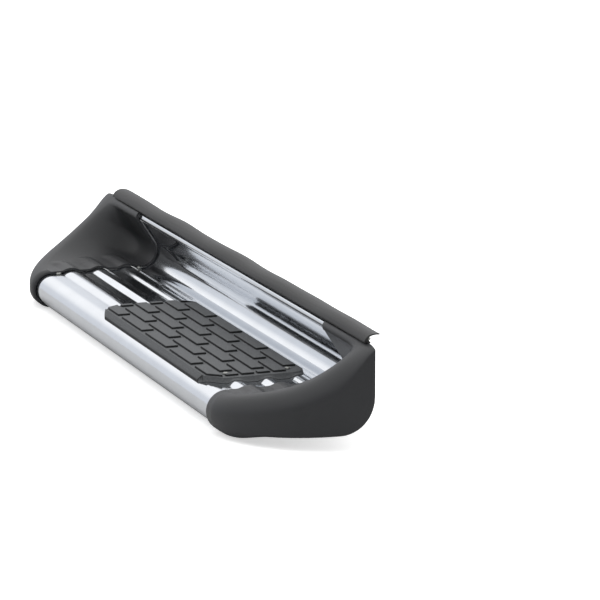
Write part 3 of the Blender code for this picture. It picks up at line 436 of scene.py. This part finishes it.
def cap_surface(sizes):
    """The right cap's skin as a grid: a row runs up the outer wall, over the rim and down the bowl.

    It ends at one point of the step's section and starts at the sweep angle that lies as far across the cap.
    Along it, part falls from 1 at the rim to 0 at the steel. Its depth, and its height where the rim is the
    higher, blend from the section to the rim by the ninth power of part times (10 less 9 parts). Where the
    rim is the lower, the height eases. The ribs fade as the bowl climbs.
    """
    section = step_section(from_nose=True, flange=False, wall_run=CAP_WALL_RUN, lip_radius=CAP_LIP_RADIUS)
    skin = section[:, :2] + section[:, 2:] * sizes.cap_standoff
    skin = np.concatenate([skin, [[COVE_Y, skin[-1, 1]]]])
    level = np.abs(skin[:, 1] - TREAD_Z - sizes.cap_standoff) < 1e-7
    sweep = np.linspace(0, math.pi / 2, 721)
    crest = cap_outer(sweep, sizes)[:, -1]
    rim_facing = facing(crest[:, 1], crest[:, 2])
    across = facing(skin[:, 0], skin[:, 1])
    share = (across - across[0]) / (across[-1] - across[0])
    angle = np.interp(rim_facing[0] + share * (rim_facing[-1] - rim_facing[0]), rim_facing, sweep)
    outer = cap_outer(angle, sizes)
    start = sizes.half_steel
    rim_x, rim_y, rim_z = outer[:, -1].T
    part = 1 - np.arange(1, BOWL_STATIONS + 1) / (BOWL_STATIONS + 2)
    x = start + (rim_x[:, None] - start) * part
    spare = np.minimum(BOWL_EDGE, np.maximum(rim_x - start, 0.0)[:, None] * BOWL_EDGE / BOWL_ROW)
    x = np.concatenate([x, start + spare], axis=1)
    part = (x - start) / np.maximum(rim_x - start, 1e-6)[:, None]
    climb = part ** 9 * (10 - 9 * part)
    y = skin[:, 0][:, None] + (rim_y - skin[:, 0])[:, None] * climb
    drop = (rim_z - skin[:, 1])[:, None]
    rise = drop * np.where(drop < 0, ease(2 * part), climb)
    ribs = np.where(level, rib_height(skin[:, 0]), 0.0)[:, None] * (1 - ease(rise / RIB_FADE))
    z = skin[:, 1][:, None] + rise + ribs
    bowl = np.stack([x, y, z], axis=2)
    # The first row is the nose where it meets the steel
    nose = cap_outer(np.zeros(1), sizes, straight=start)
    first = np.concatenate([nose, np.repeat(nose[:, -1:], x.shape[1], axis=1)], axis=1)
    return np.concatenate([first, np.concatenate([outer, bowl], axis=1)])


def rounded(points, rounds=3):
    """A polyline with its corners cut: a round keeps points a quarter and three quarters along each side."""
    path = np.array(points, float)
    for _ in range(rounds):
        near = path[:-1] * 0.75 + path[1:] * 0.25
        far = path[:-1] * 0.25 + path[1:] * 0.75
        middle = np.stack([near, far], axis=1).reshape(-1, path.shape[1])
        path = np.concatenate([path[:1], middle, path[-1:]])
    return path


def pad_ends(y):
    """X of the pad's left and right ends at depth y.

    Three corners are quarter circles, and the right front one is a chamfer.
    """
    beyond = np.maximum(PAD_FRONT + PAD_CORNER - y, y - PAD_REAR + PAD_CORNER)
    inside = np.clip(beyond, 0, PAD_CORNER)
    left = PAD_LEFT + PAD_CORNER - np.sqrt(np.maximum(PAD_CORNER ** 2 - inside ** 2, 0.0))
    corner = np.clip(y - PAD_REAR + PAD_REAR_CORNER, 0, PAD_REAR_CORNER)
    chamfer = np.clip(PAD_FRONT + PAD_CHAMFER - y, 0, PAD_CHAMFER)
    right = PAD_RIGHT - chamfer - PAD_REAR_CORNER + np.sqrt(PAD_REAR_CORNER ** 2 - corner ** 2)
    return left, right


def sheet_top(y):
    """Underside of the pad at depth y: just over the ribbed tread, or the nose arc ahead of its centre."""
    ahead = np.clip(NOSE_Y - y, 0, NOSE_RADIUS)
    arc = TREAD_Z - NOSE_RADIUS + np.sqrt(NOSE_RADIUS ** 2 - ahead ** 2)
    return np.where(y < NOSE_Y, arc, TREAD_Z + rib_height(y)) + PAD_GAP


def pad_base():
    """The pad's base: a section from its rear edge to the ridged front border, carried from end to end.

    Each row of the grid is one point of the section. Its columns run from the sheet up the left end, round
    the top edge by a quarter circle, along the top, round the right edge and down a sloped end to the sheet.
    """
    rear = rounded([(PAD_REAR, sheet_top(np.array(PAD_REAR))), (PAD_REAR, PAD_TOP - 0.0010),
                    (PAD_REAR, PAD_TOP), (PAD_REAR - 0.0010, PAD_TOP)])
    front = rounded(PAD_BORDER + (ROW_FRONT - ROW_GAP, PAD_TOP))
    turn = np.linspace(0, math.pi, 72)[1:-1]
    middle = (rear[-1, 0] + front[0, 0]) / 2
    flat_y = middle + (rear[-1, 0] - middle) * np.cos(turn)
    flat = np.column_stack([flat_y, np.full_like(flat_y, PAD_TOP)])
    path = np.concatenate([rear, flat, front])
    left, right = (end[:, None] for end in pad_ends(path[:, 0]))
    under = np.minimum(sheet_top(path[:, 0]), path[:, 1])[:, None]
    # Insets of the columns round an end's edge
    inset = np.array([0.0, 0.00015, 0.0004, 0.0008, PAD_EDGE])
    drop = PAD_EDGE - np.sqrt(PAD_EDGE ** 2 - (PAD_EDGE - inset) ** 2)
    share = np.linspace(0, 1, 9)[1:-1]
    inner_left, inner_right = left + PAD_EDGE, right - PAD_EDGE
    x = np.concatenate([left, left + inset, inner_left + (inner_right - inner_left) * share,
                        right - inset[::-1], right + PAD_END_RUN], axis=1)
    falls = np.concatenate([drop, np.zeros(len(share)), drop[::-1]])
    top = np.maximum(path[:, 1:] - falls, under)
    z = np.concatenate([under, top, under], axis=1)
    y = np.repeat(path[:, :1], x.shape[1], axis=1)
    return np.stack([x, y, z], axis=2)


def pad_bricks(sizes):
    """The raised bricks in running bond, as rings by outline points for each brick.

    A ring is a rectangle with round corners, drawn in by an inset. The rings rise up a draft, turn in over a
    quarter circle and close on the brick's middle line. Points past the pad's curved ends are pulled in.
    """
    row, step = np.meshgrid(np.arange(ROWS), np.arange(ROW_BRICKS), indexing="ij")
    pitch = sizes.brick_length
    left = PAD_LEFT + FIRST_JOINT + np.where(row % 2, 0.0, pitch / 2) + (step - 1) * pitch + JOINT / 2
    right = np.minimum(left + pitch - JOINT, PAD_RIGHT - RIGHT_BORDER)
    left = np.maximum(left, PAD_LEFT + BRICK_BORDER)
    left = np.where((row == 1) & (left > SHORT_BRICKS), left + SHORTENED, left)
    low = ROW_FRONT + row * ROW_PITCH
    keep = (right - left > SHORTEST_BRICK) & ~((row == ROWS - 1) & (left > SHORT_BRICKS))
    left, right, low = left[keep], right[keep], low[keep]
    high = low + ROW_PITCH - ROW_GAP
    half = (ROW_PITCH - ROW_GAP) / 2
    turn = np.linspace(math.pi / 2, 0, 7)
    # Insets and heights of the rings: up the draft, round the top edge and in to the middle line
    inset = np.concatenate([[0, 0, 0.0003], BRICK_INSET - BRICK_EDGE * np.sin(turn), [0.0016, 0.0035, half]])
    edge = sizes.brick_height - BRICK_EDGE + BRICK_EDGE * np.cos(turn)
    height = np.concatenate([[-0.0004, 0, 0.0010], edge, [sizes.brick_height] * 3])
    inset, height = inset[None, :, None], height[None, :, None]
    angle = np.linspace(0, 2 * math.pi, BRICK_POINTS + 1)[:-1] + math.pi / BRICK_POINTS
    corner = np.maximum(BRICK_CORNER - inset, 0.0)
    side_x, side_y = np.sign(np.cos(angle)), np.sign(np.sin(angle))
    middle, reach = ((left + right) / 2)[:, None, None], ((right - left) / 2)[:, None, None]
    span = np.maximum(reach - inset - corner, 0.0)
    rise = np.maximum(half - inset - corner, 0.0)
    x = middle + side_x * span + corner * np.cos(angle)
    y = ((low + high) / 2)[:, None, None] + side_y * rise + corner * np.sin(angle)
    end_left, end_right = pad_ends(y)
    margin = BRICK_BORDER + np.minimum(inset, BRICK_CORNER)
    x = np.clip(x, end_left + margin, end_right - margin)
    z = PAD_TOP + np.broadcast_to(height, x.shape)
    return np.stack([x, y, z], axis=3)


def seal_surface(sizes):
    """The seal as stations by profile points: a foot, a flap that curls up and back, a drooping free edge.

    The profile is a closed loop whose corners are rounded. Along the step, where the stations crowd towards
    the ends, the flap waves by sines that grow with its height. Its ends are rounded back by an ellipse, and
    the foot is notched at both ends by pulling its rear to its front.
    """
    loop = rounded(SEAL_LOOP, 2) / 1000
    turn = np.linspace(-math.pi / 2, math.pi / 2, 121)
    end = np.where(turn < 0, sizes.seal_left, sizes.seal_right)
    x = end * np.sign(turn) * (1 - (1 - np.abs(turn) / (math.pi / 2)) ** 1.6)
    near_end = (np.abs(x) > end - NOTCH)[:, None]
    height = np.clip((loop[:, 1] - WAVE_Z) / WAVE_RISE, 0, 1)
    wave = np.sin(2 * math.pi * x / LONG_WAVE + 0.6) + 0.5 * np.sin(2 * math.pi * x / SHORT_WAVE)
    droop = np.sin(2 * math.pi * x / DROOP_WAVE + 1.9)
    y = loop[:, 0] + sizes.seal_wave * wave[:, None] * height
    z = loop[:, 1] + sizes.seal_wave * 0.6 * droop[:, None] * height
    back = np.clip((loop[:, 0] - FLAP_FRONT) / FLAP_DEPTH, 0, 1)
    shrink = np.where(loop[:, 1] > FLAP_Z, FLAP_ROUND * (1 - np.sqrt(1 - 0.98 * back ** 2)), 0.0)
    x = x[:, None] - np.sign(x)[:, None] * shrink * near_end
    foot = (loop[:, 1] < FOOT_TOP) & (loop[:, 0] > FOOT_FRONT)
    y = np.where(near_end & foot, NOTCH_Y, y)
    return np.stack([x, y, z], axis=2)


def new_material(name, roughness, metallic=0.0, specular=0.5):
    """A new node material and its Principled shader."""
    material = bpy.data.materials.new(name)
    material.use_nodes = True
    shader = material.node_tree.nodes["Principled BSDF"]
    shader.inputs["Roughness"].default_value = roughness
    shader.inputs["Metallic"].default_value = metallic
    shader.inputs["Specular IOR Level"].default_value = specular
    return material, shader


def node(owner, kind, settings=None, **links):
    """Add a node to a material or world.

    Settings are values of its inputs, its attributes or a ramp's stops, and links feed its inputs.
    """
    made = owner.node_tree.nodes.new(kind)
    for key, value in (settings or {}).items():
        if key == "Stops":
            elements = made.color_ramp.elements
            while len(elements) < len(value):
                elements.new(0.5)
            for element, (position, tone) in zip(elements, value):
                element.position = position
                element.color = (*tone, 1.0)
        elif key in made.inputs:
            made.inputs[key].default_value = value
        else:
            setattr(made, key, value)
    for key, source in links.items():
        owner.node_tree.links.new(source, made.inputs[key])
    return made


def link(owner, source, target):
    """Link an output to an input."""
    owner.node_tree.links.new(source, target)


def grained(material, shader, pattern, smooth, rough, relief=0.0):
    """Spread the roughness over a pattern's values, and with relief raise the pattern by a bump."""
    spread = node(material, "ShaderNodeMapRange", {"To Min": smooth, "To Max": rough}, Value=pattern)
    link(material, spread.outputs["Result"], shader.inputs["Roughness"])
    if relief:
        bump = node(material, "ShaderNodeBump", {"Strength": relief, "Distance": GRAIN_DEPTH}, Height=pattern)
        link(material, bump.outputs["Normal"], shader.inputs["Normal"])


def scaled(value, factor):
    """A colour times a factor."""
    return tuple(min(1.0, part * factor) for part in value)


def polished_stainless(finishes):
    """Mirror-polished stainless: faint polishing lines along the sheet blur what it reflects lengthwise."""
    material, shader = new_material("polished_stainless", 0.10, metallic=1.0)
    place = node(material, "ShaderNodeTexCoord").outputs["Object"]
    # Polishing lines 2 mm apart and about 250 mm long
    stretch = {"Scale": (4.0, 500.0, 500.0)}
    lines = node(material, "ShaderNodeMapping", stretch, Vector=place).outputs["Vector"]
    grain = node(material, "ShaderNodeTexNoise", {"Scale": 1.0, "Detail": 2.0}, Vector=lines)
    # Slow variation 40 mm across
    cloud = node(material, "ShaderNodeTexNoise", {"Scale": 25.0, "Detail": 2.0}, Vector=place)
    stops = [(0.3, scaled(finishes.stainless, 0.95)), (0.7, finishes.stainless)]
    tone = node(material, "ShaderNodeValToRGB", {"Stops": stops}, Fac=cloud.outputs["Fac"])
    link(material, tone.outputs["Color"], shader.inputs["Base Color"])
    grained(material, shader, grain.outputs["Fac"], 0.06, 0.13, 0.006)
    return material


def moulded_plastic(finishes):
    """Matte charcoal injection moulding: a fine spark-eroded grain keeps its shine low and even."""
    material, shader = new_material("moulded_plastic", 0.46, specular=0.36)
    place = node(material, "ShaderNodeTexCoord").outputs["Object"]
    # Grain 0.8 mm across, drawn coarser than the real 0.3 mm so that it shows
    grain = node(material, "ShaderNodeTexNoise", {"Scale": 1250.0, "Detail": 2.0}, Vector=place)
    # Slow variation 70 mm across
    cloud = node(material, "ShaderNodeTexNoise", {"Scale": 14.0, "Detail": 3.0}, Vector=place)
    stops = [(0.3, scaled(finishes.moulding, 0.9)), (0.7, scaled(finishes.moulding, 1.08))]
    tone = node(material, "ShaderNodeValToRGB", {"Stops": stops}, Fac=cloud.outputs["Fac"])
    link(material, tone.outputs["Color"], shader.inputs["Base Color"])
    grained(material, shader, grain.outputs["Fac"], 0.40, 0.50, 0.25)
    return material


def pad_rubber(finishes):
    """Moulded rubber with a fine matte grain, and painted shade that darkens the faces which don't look up.
    """
    material, shader = new_material("pad_rubber", 0.62, specular=0.35)
    place = node(material, "ShaderNodeTexCoord").outputs["Object"]
    # Rubber grain 2 mm across, drawn coarser than the real one so that it shows
    grain = node(material, "ShaderNodeTexNoise", {"Scale": 500.0, "Detail": 3.0}, Vector=place).outputs["Fac"]
    stops = [(0.3, scaled(finishes.pad, 0.84)), (0.7, scaled(finishes.pad, 1.28))]
    tone = node(material, "ShaderNodeValToRGB", {"Stops": stops}, Fac=grain)
    # Painted shade: faces that don't look up, such as the bricks' sides and ends, are darkened to near black
    normal = node(material, "ShaderNodeNewGeometry").outputs["Normal"]
    upward = node(material, "ShaderNodeSeparateXYZ", Vector=normal).outputs["Z"]
    stops = [(0.27, (0.1,) * 3), (0.36, (1.0,) * 3)]
    painted_side_shade = node(material, "ShaderNodeValToRGB", {"Stops": stops}, Fac=upward)
    # A colour Mix takes its factor at input 0 and its colours at inputs 6 and 7
    both = node(material, "ShaderNodeMix", {"data_type": "RGBA", "blend_type": "MULTIPLY"})
    both.inputs[0].default_value = 1.0
    link(material, tone.outputs["Color"], both.inputs[6])
    link(material, painted_side_shade.outputs["Color"], both.inputs[7])
    link(material, both.outputs[2], shader.inputs["Base Color"])
    grained(material, shader, grain, 0.55, 0.72, 0.35)
    return material


def seal_rubber(finishes):
    """Extruded rubber strip: satin, with faint die lines along its length."""
    material, shader = new_material("seal_rubber", 0.5, specular=0.42)
    place = node(material, "ShaderNodeTexCoord").outputs["Object"]
    # Die lines 1.5 mm apart and about 100 mm long
    stretch = {"Scale": (10.0, 650.0, 650.0)}
    lines = node(material, "ShaderNodeMapping", stretch, Vector=place).outputs["Vector"]
    grain = node(material, "ShaderNodeTexNoise", {"Scale": 1.0, "Detail": 3.0}, Vector=lines).outputs["Fac"]
    stops = [(0.3, scaled(finishes.seal, 0.9)), (0.7, scaled(finishes.seal, 1.08))]
    tone = node(material, "ShaderNodeValToRGB", {"Stops": stops}, Fac=grain)
    link(material, tone.outputs["Color"], shader.inputs["Base Color"])
    grained(material, shader, grain, 0.44, 0.58, 0.15)
    return material


def plated(name, base, smooth, rough, spangle):
    """Plated steel: metallic, with patches of a given size in metres whose tone and roughness vary."""
    material, shader = new_material(name, smooth, metallic=1.0)
    place = node(material, "ShaderNodeTexCoord").outputs["Object"]
    patches = node(material, "ShaderNodeTexVoronoi", {"Scale": 1.0 / spangle}, Vector=place)
    stops = [(0.2, scaled(base, 0.86)), (0.8, base)]
    tone = node(material, "ShaderNodeValToRGB", {"Stops": stops}, Fac=patches.outputs["Color"])
    link(material, tone.outputs["Color"], shader.inputs["Base Color"])
    grained(material, shader, patches.outputs["Distance"], smooth, rough)
    return material


def studio_floor(studio):
    """A pale painted floor that glows for the camera, to lift the shadow, and is greyer in mirrors."""
    material, shader = new_material("studio_floor", 0.8)
    path = node(material, "ShaderNodeLightPath")
    stops = [(0.0, studio.floor), (1.0, scaled(studio.floor, FLOOR_MIRRORED))]
    tone = node(material, "ShaderNodeValToRGB", {"Stops": stops}, Fac=path.outputs["Is Glossy Ray"])
    link(material, tone.outputs["Color"], shader.inputs["Base Color"])
    shader.inputs["Emission Color"].default_value = (1.0, 1.0, 1.0, 1.0)
    glow = node(material, "ShaderNodeMath", {"operation": "MULTIPLY"})
    glow.inputs[1].default_value = FLOOR_GLOW
    link(material, path.outputs["Is Camera Ray"], glow.inputs[0])
    link(material, glow.outputs[0], shader.inputs["Emission Strength"])
    return material


def studio_sky():
    """The world: diffuse light mostly from overhead and less from the camera's side, for mirrors a pale sky.

    That sky is dark low down on the camera's side. The camera itself sees plain white.
    """
    world = bpy.data.worlds.new("studio")
    world.use_nodes = True
    smooth = {"interpolation_type": "SMOOTHSTEP"}
    away = node(world, "ShaderNodeTexCoord").outputs["Generated"]
    level = node(world, "ShaderNodeSeparateXYZ", Vector=away).outputs["Z"]
    # How far a direction lies towards the camera
    product = node(world, "ShaderNodeVectorMath", {"operation": "DOT_PRODUCT"})
    link(world, away, product.inputs[0])
    product.inputs[1].default_value = TO_CAMERA
    toward = product.outputs["Value"]

    stops = [(0.0, (0.22,) * 3), (0.3, (0.5,) * 3), (0.6, (0.75,) * 3), (1.0, (1.0,) * 3)]
    soft = node(world, "ShaderNodeValToRGB", {"Stops": stops}, Fac=level)
    # Less diffuse light from the camera's side keeps the faces that look that way dark
    dim = node(world, "ShaderNodeMapRange",
               {**smooth, "From Min": -0.1, "From Max": 0.8, "To Min": 1.6, "To Max": 0.7}, Value=toward)
    background = world.node_tree.nodes["Background"]
    link(world, soft.outputs["Color"], background.inputs["Color"])
    link(world, dim.outputs["Result"], background.inputs["Strength"])

    stops = [(0.0, (0.64, 0.66, 0.70)), (0.2, (0.68, 0.70, 0.74)), (0.34, (0.97, 0.97, 0.98)),
             (1.0, (1.0, 1.0, 1.0))]
    sky = node(world, "ShaderNodeValToRGB", {"Stops": stops}, Fac=level)
    near = node(world, "ShaderNodeMapRange", {**smooth, "From Min": 0.25, "From Max": 0.75}, Value=toward)
    low = node(world, "ShaderNodeMapRange", {**smooth, "From Min": 0.55, "From Max": 0.25}, Value=level)
    shade = node(world, "ShaderNodeMath", {"operation": "MULTIPLY"})
    link(world, near.outputs["Result"], shade.inputs[0])
    link(world, low.outputs["Result"], shade.inputs[1])
    dark = node(world, "ShaderNodeMix", {"data_type": "RGBA"})
    link(world, shade.outputs[0], dark.inputs[0])
    link(world, sky.outputs["Color"], dark.inputs[6])
    dark.inputs[7].default_value = (0.12, 0.12, 0.125, 1.0)
    mirror = node(world, "ShaderNodeBackground", {"Strength": 1.3}, Color=dark.outputs[2])

    # Past the floor's edge the camera sees plain white
    white = node(world, "ShaderNodeBackground", {"Color": (1.0, 1.0, 1.0, 1.0), "Strength": 1.0})
    path = node(world, "ShaderNodeLightPath")
    seen = background.outputs[0]
    for ray, other in (("Is Glossy Ray", mirror), ("Is Camera Ray", white)):
        mix = node(world, "ShaderNodeMixShader")
        link(world, path.outputs[ray], mix.inputs[0])
        link(world, seen, mix.inputs[1])
        link(world, other.outputs[0], mix.inputs[2])
        seen = mix.outputs[0]
    link(world, seen, world.node_tree.nodes["World Output"].inputs["Surface"])
    return world


def finish(thing, material):
    """Put a material on a new piece and let it ride on the part's one body."""
    thing.data.materials.clear()
    thing.data.materials.append(material)
    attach(thing, "root")


def dress(words, material):
    """Put a material on the CAD nodes whose names hold one of the words."""
    for name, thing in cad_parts.items():
        if any(word in name for word in words):
            thing.data.materials.clear()
            thing.data.materials.append(material)


class SIDESTEP_OT_step_body(bpy.types.Operator):
    """Build the folded stainless body as a smooth swept sheet"""
    bl_idname = "side_step.step_body"
    bl_label = "Step body"

    def execute(self, context):
        sizes, finishes = context.scene.step_sizes, context.scene.step_finishes
        section = step_section()
        half = sizes.half_steel + SHEET_LAP
        stations = np.linspace(-half, half, 25)
        body = swept_sheet("stainless_step", lifted(section, 0.0), lifted(section, -SHEET), stations)
        finish(body, polished_stainless(finishes))
        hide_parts("step_body")
        return {"FINISHED"}


class SIDESTEP_OT_end_caps(bpy.types.Operator):
    """Build both moulded end caps as a mirrored pair of thin shells"""
    bl_idname = "side_step.end_caps"
    bl_label = "End caps"

    def execute(self, context):
        sizes, finishes = context.scene.step_sizes, context.scene.step_finishes
        grid = cap_surface(sizes)
        material = moulded_plastic(finishes)
        for name, side in (("left", -1), ("right", 1)):
            points = grid * np.array([side, 1, 1])
            cap = add_mesh("cap_shell_" + name, points, grid_faces(*grid.shape[:2], flip=side > 0))
            weld(cap, 2e-6, turn=False, sharp=40.0)
            # The skin is the outside, so the wall grows inwards
            wall = cap.modifiers.new("Wall", "SOLIDIFY")
            wall.thickness = sizes.cap_wall
            wall.offset = -1.0
            finish(cap, material)
            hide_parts("end_cap_" + name)
        return {"FINISHED"}


class SIDESTEP_OT_step_pad(bpy.types.Operator):
    """Build the rubber pad: a base with a ridged front border and raised bricks in running bond"""
    bl_idname = "side_step.step_pad"
    bl_label = "Step pad"

    def execute(self, context):
        sizes, finishes = context.scene.step_sizes, context.scene.step_finishes
        base, bricks = pad_base(), pad_bricks(sizes)
        rows, columns = base.shape[:2]
        count, rings, points = bricks.shape[:3]
        ring_faces = grid_faces(rings, points, close=True, flip=True)
        starts = rows * columns + np.arange(count)[:, None, None] * rings * points
        faces = np.concatenate([grid_faces(rows, columns, close=True), (ring_faces + starts).reshape(-1, 4)])
        pad = add_mesh("brick_pad", np.concatenate([base.reshape(-1, 3), bricks.reshape(-1, 3)]), faces)
        weld(pad, sharp=50.0)
        finish(pad, pad_rubber(finishes))
        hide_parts("step_pad")
        return {"FINISHED"}


class SIDESTEP_OT_rocker_seal(bpy.types.Operator):
    """Build the rubber rocker seal with its curled flap"""
    bl_idname = "side_step.rocker_seal"
    bl_label = "Rocker seal"

    def execute(self, context):
        sizes, finishes = context.scene.step_sizes, context.scene.step_finishes
        surface = seal_surface(sizes)
        stations, points = surface.shape[:2]
        ends = [range(points), range((stations - 1) * points, stations * points)[::-1]]
        seal = add_mesh("curled_seal", surface, [*grid_faces(stations, points, close=True), *ends])
        weld(seal, sharp=50.0)
        finish(seal, seal_rubber(finishes))
        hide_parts("rocker_seal")
        return {"FINISHED"}


class SIDESTEP_OT_hardware(bpy.types.Operator):
    """Dress the screws, studs, nuts, clips and the support channels"""
    bl_idname = "side_step.hardware"
    bl_label = "Hardware"

    def execute(self, context):
        finishes = context.scene.step_finishes
        dress(("screw", "nut", "stud"), plated("zinc_plated_steel", finishes.zinc, 0.25, 0.4, 0.002))
        dress(("channel",), plated("galvanised_steel", finishes.galvanised, 0.35, 0.55, 0.009))
        dress(("clip",), plated("black_spring_steel", finishes.clip, 0.35, 0.5, 0.003))
        return {"FINISHED"}


class SIDESTEP_OT_studio(bpy.types.Operator):
    """Set the camera, the pale floor, the soft light and the world"""
    bl_idname = "side_step.studio"
    bl_label = "Studio"

    def execute(self, context):
        scene, studio = context.scene, context.scene.step_studio
        a, e = math.radians(studio.azimuth), math.radians(studio.elevation)
        right = Vector((math.cos(a), math.sin(a), 0))
        back = Vector((math.sin(a) * math.cos(e), -math.cos(a) * math.cos(e), math.sin(e)))
        up = back.cross(right)
        camera = bpy.data.objects.new("camera", bpy.data.cameras.new("camera"))
        camera.data.lens = studio.lens
        camera.data.sensor_width = 36.0
        camera.data.clip_end = 50.0
        # The aim is measured from the front of the nose at the tread's height
        camera.location = right * studio.aim_right + up * studio.aim_up + back * studio.distance
        camera.location += Vector((0, NOSE_Y - NOSE_RADIUS, TREAD_Z))
        camera.rotation_euler = (math.pi / 2 - e, 0, a)
        scene.collection.objects.link(camera)
        scene.camera = camera

        corners = [(-1, -1, 0), (1, -1, 0), (1, 1, 0), (-1, 1, 0)]
        floor = add_mesh("floor", np.array(corners) * FLOOR_HALF, [(0, 1, 2, 3)])
        floor.location.z = min(0.0, CAD_BOX[0][2]) - FLOOR_GAP
        floor.data.materials.append(studio_floor(studio))

        for name, (place, size, power) in LAMPS.items():
            light = bpy.data.lights.new(name, "AREA")
            light.size = size
            light.energy = power
            lamp = bpy.data.objects.new(name, light)
            lamp.location = place
            lamp.rotation_euler = (Vector(place) - Vector(LAMP_AIM)).to_track_quat("Z", "Y").to_euler()
            scene.collection.objects.link(lamp)
        scene.world = studio_sky()
        scene.view_settings.view_transform = "Standard"
        return {"FINISHED"}


OPERATORS = (SIDESTEP_OT_step_body, SIDESTEP_OT_end_caps, SIDESTEP_OT_step_pad, SIDESTEP_OT_rocker_seal,
             SIDESTEP_OT_hardware, SIDESTEP_OT_studio)


class SIDESTEP_PT_panel(bpy.types.Panel):
    """The sidebar panel that lists the operators, sizes, colours and camera"""
    bl_idname = "SIDESTEP_PT_panel"
    bl_label = "Side step"
    bl_space_type = "VIEW_3D"
    bl_region_type = "UI"
    bl_category = "Side step"

    def draw(self, context):
        for operator in OPERATORS:
            self.layout.operator(operator.bl_idname)
        for group in (context.scene.step_sizes, context.scene.step_finishes, context.scene.step_studio):
            for name in group.__annotations__:
                self.layout.prop(group, name)


CLASSES = (StepSizes, StepFinishes, StepStudio, *OPERATORS, SIDESTEP_PT_panel)


def register():
    """Register the classes and hang the property groups on the scene."""
    for item in CLASSES:
        bpy.utils.register_class(item)
    bpy.types.Scene.step_sizes = PointerProperty(type=StepSizes)
    bpy.types.Scene.step_finishes = PointerProperty(type=StepFinishes)
    bpy.types.Scene.step_studio = PointerProperty(type=StepStudio)


def unregister():
    """Undo register."""
    del bpy.types.Scene.step_sizes
    del bpy.types.Scene.step_finishes
    del bpy.types.Scene.step_studio
    for item in reversed(CLASSES):
        bpy.utils.unregister_class(item)


def main():
    register()
    bpy.ops.side_step.step_body()
    bpy.ops.side_step.end_caps()
    bpy.ops.side_step.step_pad()
    bpy.ops.side_step.rocker_seal()
    bpy.ops.side_step.hardware()
    bpy.ops.side_step.studio()


if __name__ == "__main__":
    main()
